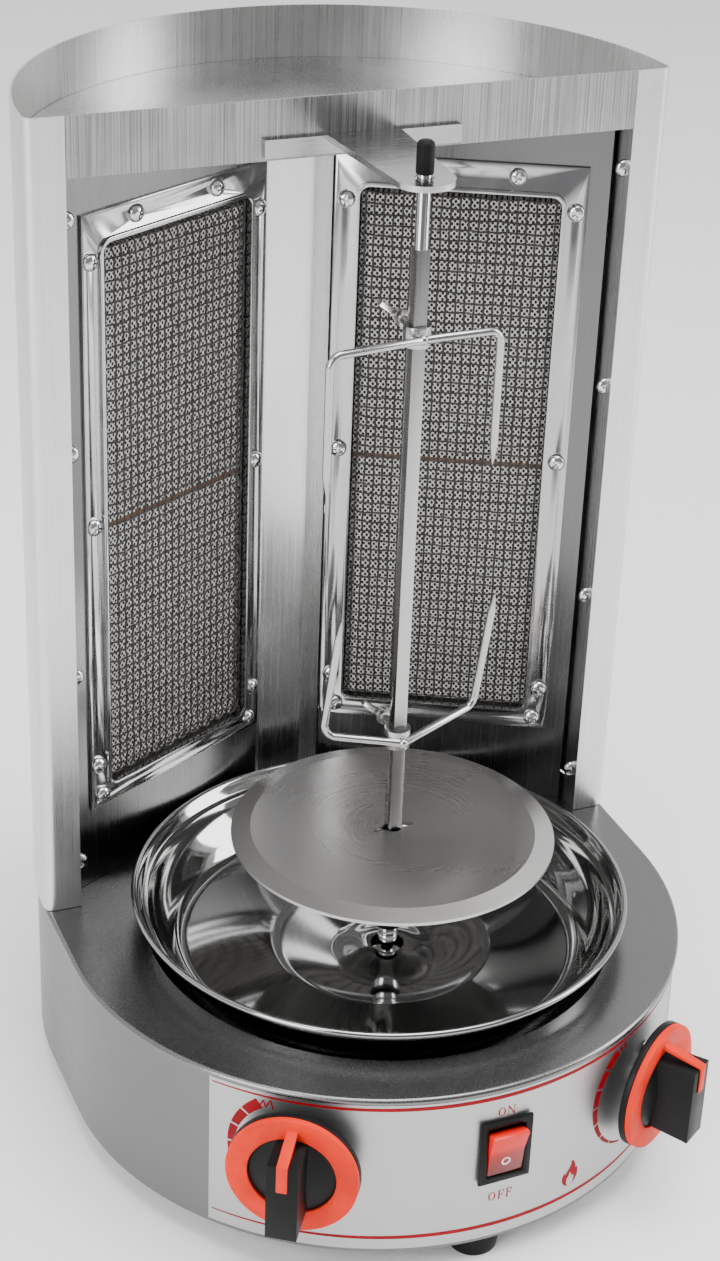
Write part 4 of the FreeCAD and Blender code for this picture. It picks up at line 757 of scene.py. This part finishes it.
def screw_heads(node, facing):
    """Domed heads on every screw of a CAD node; facing gives the way they point."""
    way = facing.normalized()
    upright = way.to_track_quat("Z", "Y").to_matrix().to_4x4()
    whole = bmesh.new()
    for number, part in enumerate(islands(node)):
        reach = max(point.dot(way) for point in part)
        axis = sum(part, Vector()) / len(part)
        foot = axis + way * (reach - SCREW_TALL - axis.dot(way))
        single = screw_blank.copy()
        turn = Matrix.Rotation(NEXT_TURN * number + FIRST_TURN, 4, "Z")
        single.transform(Matrix.Translation(foot) @ upright @ turn)
        whole.from_mesh(single)
    mesh = form_mesh(f"{node}_heads", whole)
    piece = add_piece(f"{node}_heads", mesh, chrome, body_of(node))
    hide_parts(node)


# ---- marks on the control label ------------------------------------------------------

LABEL_LOW, LABEL_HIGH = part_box("control_label")
LABEL_RADIUS = LABEL_HIGH.x / sin(LABEL_END)
LABEL_CENTRE = LABEL_LOW.y + LABEL_RADIUS
INK = 0.09 * MM
CONTROL_Z = middle("switch_bezel").z

# How far the marks stand from the label's edges or above and below the controls.
TOP_LINE_DOWN = 2.2 * MM
BOTTOM_LINE_UP = 6.5 * MM
ON_UP = 20.6 * MM
OFF_DOWN = 26.5 * MM
FLAME_DOWN = 30 * MM
FLAME_ANGLE = 16.7  # off the front

LINE_END_GAP = 0.6
LINE_STEPS = 64
LINE_THIN = 0.25 * MM
LINE_SWELL = 0.75 * MM


def on_label(angle, run, z, lift):
    """A point on the label, run metres round from an angle off the front."""
    turned = angle + math.degrees(run / LABEL_RADIUS)
    reach = LABEL_RADIUS + lift
    return Vector((reach * sin(turned), LABEL_CENTRE - reach * cos(turned), z))


def mark_parts(points, faces, angle, height, outline):
    """Adds one thin printed shape, its outline in metres about a spot of the label."""
    start = len(points)
    count = len(outline)
    for lift in (INK / 4, INK):
        points += [on_label(angle, run, height + up, lift) for run, up in outline]
    faces.append(tuple(start + corner for corner in range(count)))
    faces.append(tuple(start + count + corner for corner in range(count)))
    for corner in range(count):
        after = (corner + 1) % count
        faces.append((start + corner, start + after, start + count + after, start + count + corner))


def add_marks(name, shapes):
    """Prints shapes, a list of (angle, height, outline), as one red piece."""
    points = []
    faces = []
    for angle, height, outline in shapes:
        mark_parts(points, faces, angle, height, outline)
    add_piece(name, mesh_from(name, points, faces), ink_red, "housing")


def border_line(height):
    """A long line round the label, thin at its ends and thick in the middle."""
    reach = LABEL_END - LINE_END_GAP
    upper = []
    lower = []
    for step in range(LINE_STEPS + 1):
        angle = -reach + 2 * reach * step / LINE_STEPS
        run = math.radians(angle) * LABEL_RADIUS
        thick = LINE_THIN + LINE_SWELL * cos(90 * angle / reach)
        upper.append((run, thick))
        lower.append((run, -thick))
    cells = []
    for step in range(LINE_STEPS):
        cells.append((0, height, [lower[step], lower[step + 1], upper[step + 1], upper[step]]))
    return cells


def bar(x0, z0, x1, z1, thick):
    """A straight printed stroke from one point to another, in mm."""
    way = Vector((x1 - x0, z1 - z0)).normalized() * thick / 2
    side = Vector((-way.y, way.x))
    corners = [
        (x0 - side.x, z0 - side.y), (x1 - side.x, z1 - side.y),
        (x1 + side.x, z1 + side.y), (x0 + side.x, z0 + side.y)]
    return [(x * MM, z * MM) for x, z in corners]


# A letter's strokes are thin or thick shares of its main stroke, and end in short feet.  In mm.
THIN = 0.6
THICK = 1.3
FOOT = 0.5
O_STEPS = 16


def letter_o(x, wide, tall, thick):
    """A round letter, heavier at its sides."""
    cells = []
    for step in range(O_STEPS):
        corners = []
        for turn, scale in ((step, 0), (step + 1, 0), (step + 1, 1), (step, 1)):
            angle = 360 * turn / O_STEPS
            side = thick * (THIN + 0.8 * abs(cos(angle)))
            reach_x = wide / 2 - side * scale
            reach_z = tall / 2 - thick * THIN * scale
            corners.append(((x + reach_x * cos(angle)) * MM, reach_z * sin(angle) * MM))
        cells.append(corners)
    return cells


def letter_n(x, wide, tall, thick):
    left = x - wide / 2
    right = x + wide / 2
    half = tall / 2
    return [
        bar(left, -half, left, half, thick * THIN),
        bar(right, -half, right, half, thick * THIN),
        bar(left, half, right, -half, thick * THICK),
        bar(left - FOOT, half, left + 0.3, half, thick * 0.5),
        bar(left - FOOT, -half, left + FOOT, -half, thick * 0.5),
        bar(right - FOOT, half, right + FOOT, half, thick * 0.5)]


def letter_f(x, wide, tall, thick):
    left = x - wide / 2
    half = tall / 2
    return [
        bar(left, -half, left, half, thick * THICK),
        bar(left - FOOT, half, left + wide, half, thick * THIN),
        bar(left, 0, left + wide * 0.7, 0, thick * THIN),
        bar(left - 0.6, -half, left + 0.6, -half, thick * 0.5),
        bar(left + wide, half, left + wide, half - 1.2, thick * THIN),
        bar(left + wide * 0.7, 0.6, left + wide * 0.7, -0.6, thick * 0.5)]


# The words at the switch, in mm.
STROKE = 0.5
LETTER_TALL = 4.6
O_WIDE = 3.6
N_WIDE = 2.9
F_WIDE = 2.3


def switch_words():
    """ON above the switch and OFF below it."""
    word_on = letter_o(-2.3, O_WIDE, LETTER_TALL, STROKE) + letter_n(2.4, N_WIDE, LETTER_TALL, STROKE)
    word_off = letter_o(-4.2, O_WIDE, LETTER_TALL, STROKE)
    for place in (0.5, 4.5):
        word_off += letter_f(place, F_WIDE, LETTER_TALL, STROKE)
    shapes = [(ROCKER_ANGLE, CONTROL_Z + ON_UP, stroke) for stroke in word_on]
    shapes += [(ROCKER_ANGLE, CONTROL_Z - OFF_DOWN, stroke) for stroke in word_off]
    return shapes


FLAME_SCALE = 1.2


def flame_outline():
    """A small flame of two curling tongues about its middle, drawn in mm."""
    tongues = [
        (-0.8, -6.0), (-2.6, -5.2), (-3.8, -3.4), (-3.9, -1.2), (-3.0, 0.8), (-2.5, -0.6), (-1.6, 1.0),
        (-0.4, 2.6), (0.4, 4.2), (0.5, 6.0), (1.9, 4.6), (2.6, 2.6), (2.5, 0.9), (3.3, 1.8), (3.9, 0.0),
        (3.8, -2.4), (2.7, -4.6), (1.0, -5.9), (2.0, -4.4), (2.2, -2.8), (1.4, -1.2), (0.9, -2.2),
        (0.5, -0.6), (-0.3, 0.4), (-0.6, -1.2), (-1.5, -2.6), (-1.7, -4.4)]
    return [(x * FLAME_SCALE * MM, z * FLAME_SCALE * MM) for x, z in tongues]


# The scale round a knob: its two ends, and its sizes in mm.
DIAL_START = 126
DIAL_END = 254
DIAL_OUTER = 33.4
DIAL_WIDE = 4.6
DIAL_NARROW = 0.8
DIAL_SEGMENTS = 7
DIAL_GAP = 0.05  # left at each end of a block, as a share of it
BLOCK_STEPS = 6
ZIGZAG = [(-18.6, 22.6), (-16.6, 26.8), (-15.4, 23.4), (-13.2, 27.6), (-12.0, 22.8)]
ZIGZAG_THICK = 0.7


def dial_shapes():
    """A scale round a knob, of blocks that get narrower as it goes down, in metres."""
    shapes = []
    whole = DIAL_END - DIAL_START
    for block in range(DIAL_SEGMENTS):
        first = DIAL_START + whole * (block + DIAL_GAP) / DIAL_SEGMENTS
        last = DIAL_START + whole * (block + 1 - DIAL_GAP) / DIAL_SEGMENTS
        inner = []
        outer = []
        for step in range(BLOCK_STEPS + 1):
            angle = first + (last - first) * step / BLOCK_STEPS
            fade = (angle - DIAL_START) / whole
            inner_radius = DIAL_OUTER - DIAL_WIDE * (1 - fade) - DIAL_NARROW
            inner.append((inner_radius * cos(angle) * MM, inner_radius * sin(angle) * MM))
            outer.append((DIAL_OUTER * cos(angle) * MM, DIAL_OUTER * sin(angle) * MM))
        for step in range(BLOCK_STEPS):
            shapes.append([inner[step], outer[step], outer[step + 1], inner[step + 1]])
    for first, second in zip(ZIGZAG, ZIGZAG[1:]):
        shapes.append(bar(*first, *second, ZIGZAG_THICK))
    return shapes


# The off mark, in mm: its radii, and how deep it is sunk and how far it stands out.
RING_INNER = 1.5
RING_OUTER = 2.2
RING_SUNK = -0.05
RING_PROUD = 0.12
RING_STEPS = 32
RING_UP = 0.3  # its place, as a share of the rocker's height
RAY_START = 20 * MM


def rocker_ring():
    """The white off mark on the lower half of the rocker."""
    low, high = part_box("switch_rocker")
    start = Vector(((low.x + high.x) / 2, low.y - RAY_START, low.z + (high.z - low.z) * RING_UP))
    shape = frame["nodes"]["switch_rocker"].data
    tree = BVHTree.FromPolygons([corner.co for corner in shape.vertices],
                                [face.vertices for face in shape.polygons])
    place, normal, _, _ = tree.ray_cast(start, Vector((0, 1, 0)))
    upright = normal.to_track_quat("Z", "Y").to_matrix().to_4x4()
    form = bmesh.new()
    rings = []
    for radius, lift in ((RING_INNER, RING_SUNK), (RING_INNER, RING_PROUD),
                         (RING_OUTER, RING_PROUD), (RING_OUTER, RING_SUNK)):
        ring = []
        for step in range(RING_STEPS):
            turn = 360 * step / RING_STEPS
            ring.append(form.verts.new((radius * cos(turn) * MM, radius * sin(turn) * MM, lift * MM)))
        rings.append(ring)
    for first, second in zip(rings, rings[1:] + rings[:1]):
        for step in range(RING_STEPS):
            after = (step + 1) % RING_STEPS
            form.faces.new((first[step], first[after], second[after], second[step]))
    bmesh.ops.recalc_face_normals(form, faces=form.faces)
    mesh = form_mesh("rocker_off_ring", form)
    matrix = Matrix.Translation(place) @ upright
    add_piece("rocker_off_ring", mesh, ink_white, body_of("switch_rocker"), matrix)


def print_label():
    top = LABEL_HIGH.z - TOP_LINE_DOWN
    bottom = LABEL_LOW.z + BOTTOM_LINE_UP
    add_marks("label_border_lines", border_line(top) + border_line(bottom))
    add_marks("switch_words", switch_words())
    add_marks("flame_mark", [(FLAME_ANGLE, CONTROL_Z - FLAME_DOWN, flame_outline())])
    marks = []
    for side in (-1, 1):
        marks += [(KNOB_ANGLE * side, CONTROL_Z, shape) for shape in dial_shapes()]
    add_marks("dial_scales", marks)


# ---- stage ---------------------------------------------------------------------------

FLOOR_REACH = 6
AIR_STRENGTH = 1.3
AIR_DIM = (0.30, 0.30, 0.31, 1)
AIR_BRIGHT = (1, 1, 1, 1)


def pale_floor():
    look = Look("pale_floor", (0.93, 0.93, 0.93), 0, 0.8)
    paper = look.noise(look.place(), 3, 3)
    look.join(look.ramp(paper, [(0.3, (0.92, 0.92, 0.92)), (0.7, (0.94, 0.94, 0.94))]),
              look.shader.inputs["Base Color"])
    look.bump(look.noise(look.place(), 300, 2), 0.05 * MM, 0.1)
    corners = ((-1, -1), (1, -1), (1, 1), (-1, 1))
    points = [(x * FLOOR_REACH, y * FLOOR_REACH, 0) for x, y in corners]
    floor = bpy.data.objects.new("floor", mesh_from("floor", points, [(0, 1, 2, 3)]))
    floor.data.materials.append(look.material)
    bpy.context.scene.collection.objects.link(floor)


def studio_air():
    """A pale room, dimmer in front than behind and overhead, so that metal has something to mirror."""
    world = bpy.data.worlds.new("studio")
    bpy.context.scene.world = world
    world.use_nodes = True
    tree = world.node_tree
    air = tree.nodes["Background"]
    air.inputs["Strength"].default_value = AIR_STRENGTH
    spot = tree.nodes.new("ShaderNodeTexCoord")
    parts = tree.nodes.new("ShaderNodeSeparateXYZ")
    ramp = tree.nodes.new("ShaderNodeValToRGB")
    points = ramp.color_ramp.elements
    points[0].position = 0.15
    points[0].color = AIR_DIM
    points[1].position = 0.7
    points[1].color = AIR_BRIGHT
    tree.links.new(spot.outputs["Generated"], parts.inputs[0])
    back = tree.nodes.new("ShaderNodeMapRange")
    back.inputs["From Min"].default_value = -1
    tree.links.new(parts.outputs[1], back.inputs["Value"])
    tree.links.new(back.outputs["Result"], ramp.inputs["Fac"])
    tree.links.new(ramp.outputs["Color"], air.inputs["Color"])


def soft_light(name, place, size, power, aim):
    """A flat lamp of a size in metres and a power in watts, turned to a point."""
    lamp = bpy.data.lights.new(name, "AREA")
    lamp.shape = "RECTANGLE"
    lamp.size, lamp.size_y = size
    lamp.energy = power
    thing = bpy.data.objects.new(name, lamp)
    thing.location = place
    thing.rotation_euler = (Vector(aim) - Vector(place)).to_track_quat("-Z", "Y").to_euler()
    bpy.context.scene.collection.objects.link(thing)


def studio_lights():
    aim = (0, 0, 0.25)
    soft_light("left_box", (-1.5, -0.9, 1.0), (0.9, 1.4), 34, aim)
    soft_light("right_box", (1.6, -0.6, 0.9), (0.7, 1.4), 30, aim)
    soft_light("top_box", (0.1, -0.3, 2.0), (1.4, 1.2), 40, aim)


# The camera: how far it stands round to the side and up, and its roll.  Lens and sensor are in mm.
CAMERA_SIDE = -23.24
CAMERA_RISE = 28.14
CAMERA_ROLL = 2.28
CAMERA_FAR = 1096.5 * MM
CAMERA_LENS = 70.5
SENSOR = 36
AIM_SHIFT = Vector((-17.25, 7.4, 0)) * MM
AIM_HEIGHT = 259.3 * MM
CAMERA_REACH = 50


def aim_camera():
    """Looks at a point near the spit's axis."""
    side = CAMERA_SIDE
    back = Vector((cos(CAMERA_RISE) * sin(side), -cos(CAMERA_RISE) * cos(side), sin(CAMERA_RISE)))
    aim = Vector((SPIT.x, SPIT.y, 0)) + AIM_SHIFT
    aim.z = AIM_HEIGHT
    right = Vector((0, 0, 1)).cross(back).normalized()
    up = back.cross(right)
    turned_right = right * cos(CAMERA_ROLL) + up * sin(CAMERA_ROLL)
    turned_up = up * cos(CAMERA_ROLL) - right * sin(CAMERA_ROLL)
    data = bpy.data.cameras.new("camera")
    data.lens = CAMERA_LENS
    data.sensor_width = SENSOR
    data.clip_end = CAMERA_REACH
    camera = bpy.data.objects.new("camera", data)
    axes = Matrix((turned_right, turned_up, back)).transposed().to_4x4()
    camera.matrix_world = Matrix.Translation(aim + back * CAMERA_FAR) @ axes
    bpy.context.scene.collection.objects.link(camera)
    bpy.context.scene.camera = camera


# ---- the whole ------------------------------------------------------------------------

paint_nodes()
for node_name, node_look, edge_width in SOFT_NODES:
    softened(node_name, node_look, edge_width * MM)
turned_pan()
screw_blank = screw_mesh()
for burner_side in (-1, 1):
    woven_screen(burner_side)
    ceramic_plates(burner_side)
for burner_side, burner_word in ((-1, "left"), (1, "right")):
    face = Vector((-sin(BURNER_ANGLE) * burner_side, -cos(BURNER_ANGLE), 0))
    screw_heads(f"{burner_word}_burner_screws", face)
screw_heads("post_screws", Vector((0, -1, 0)))
print_label()
rocker_ring()
pale_floor()
studio_air()
studio_lights()
aim_camera()
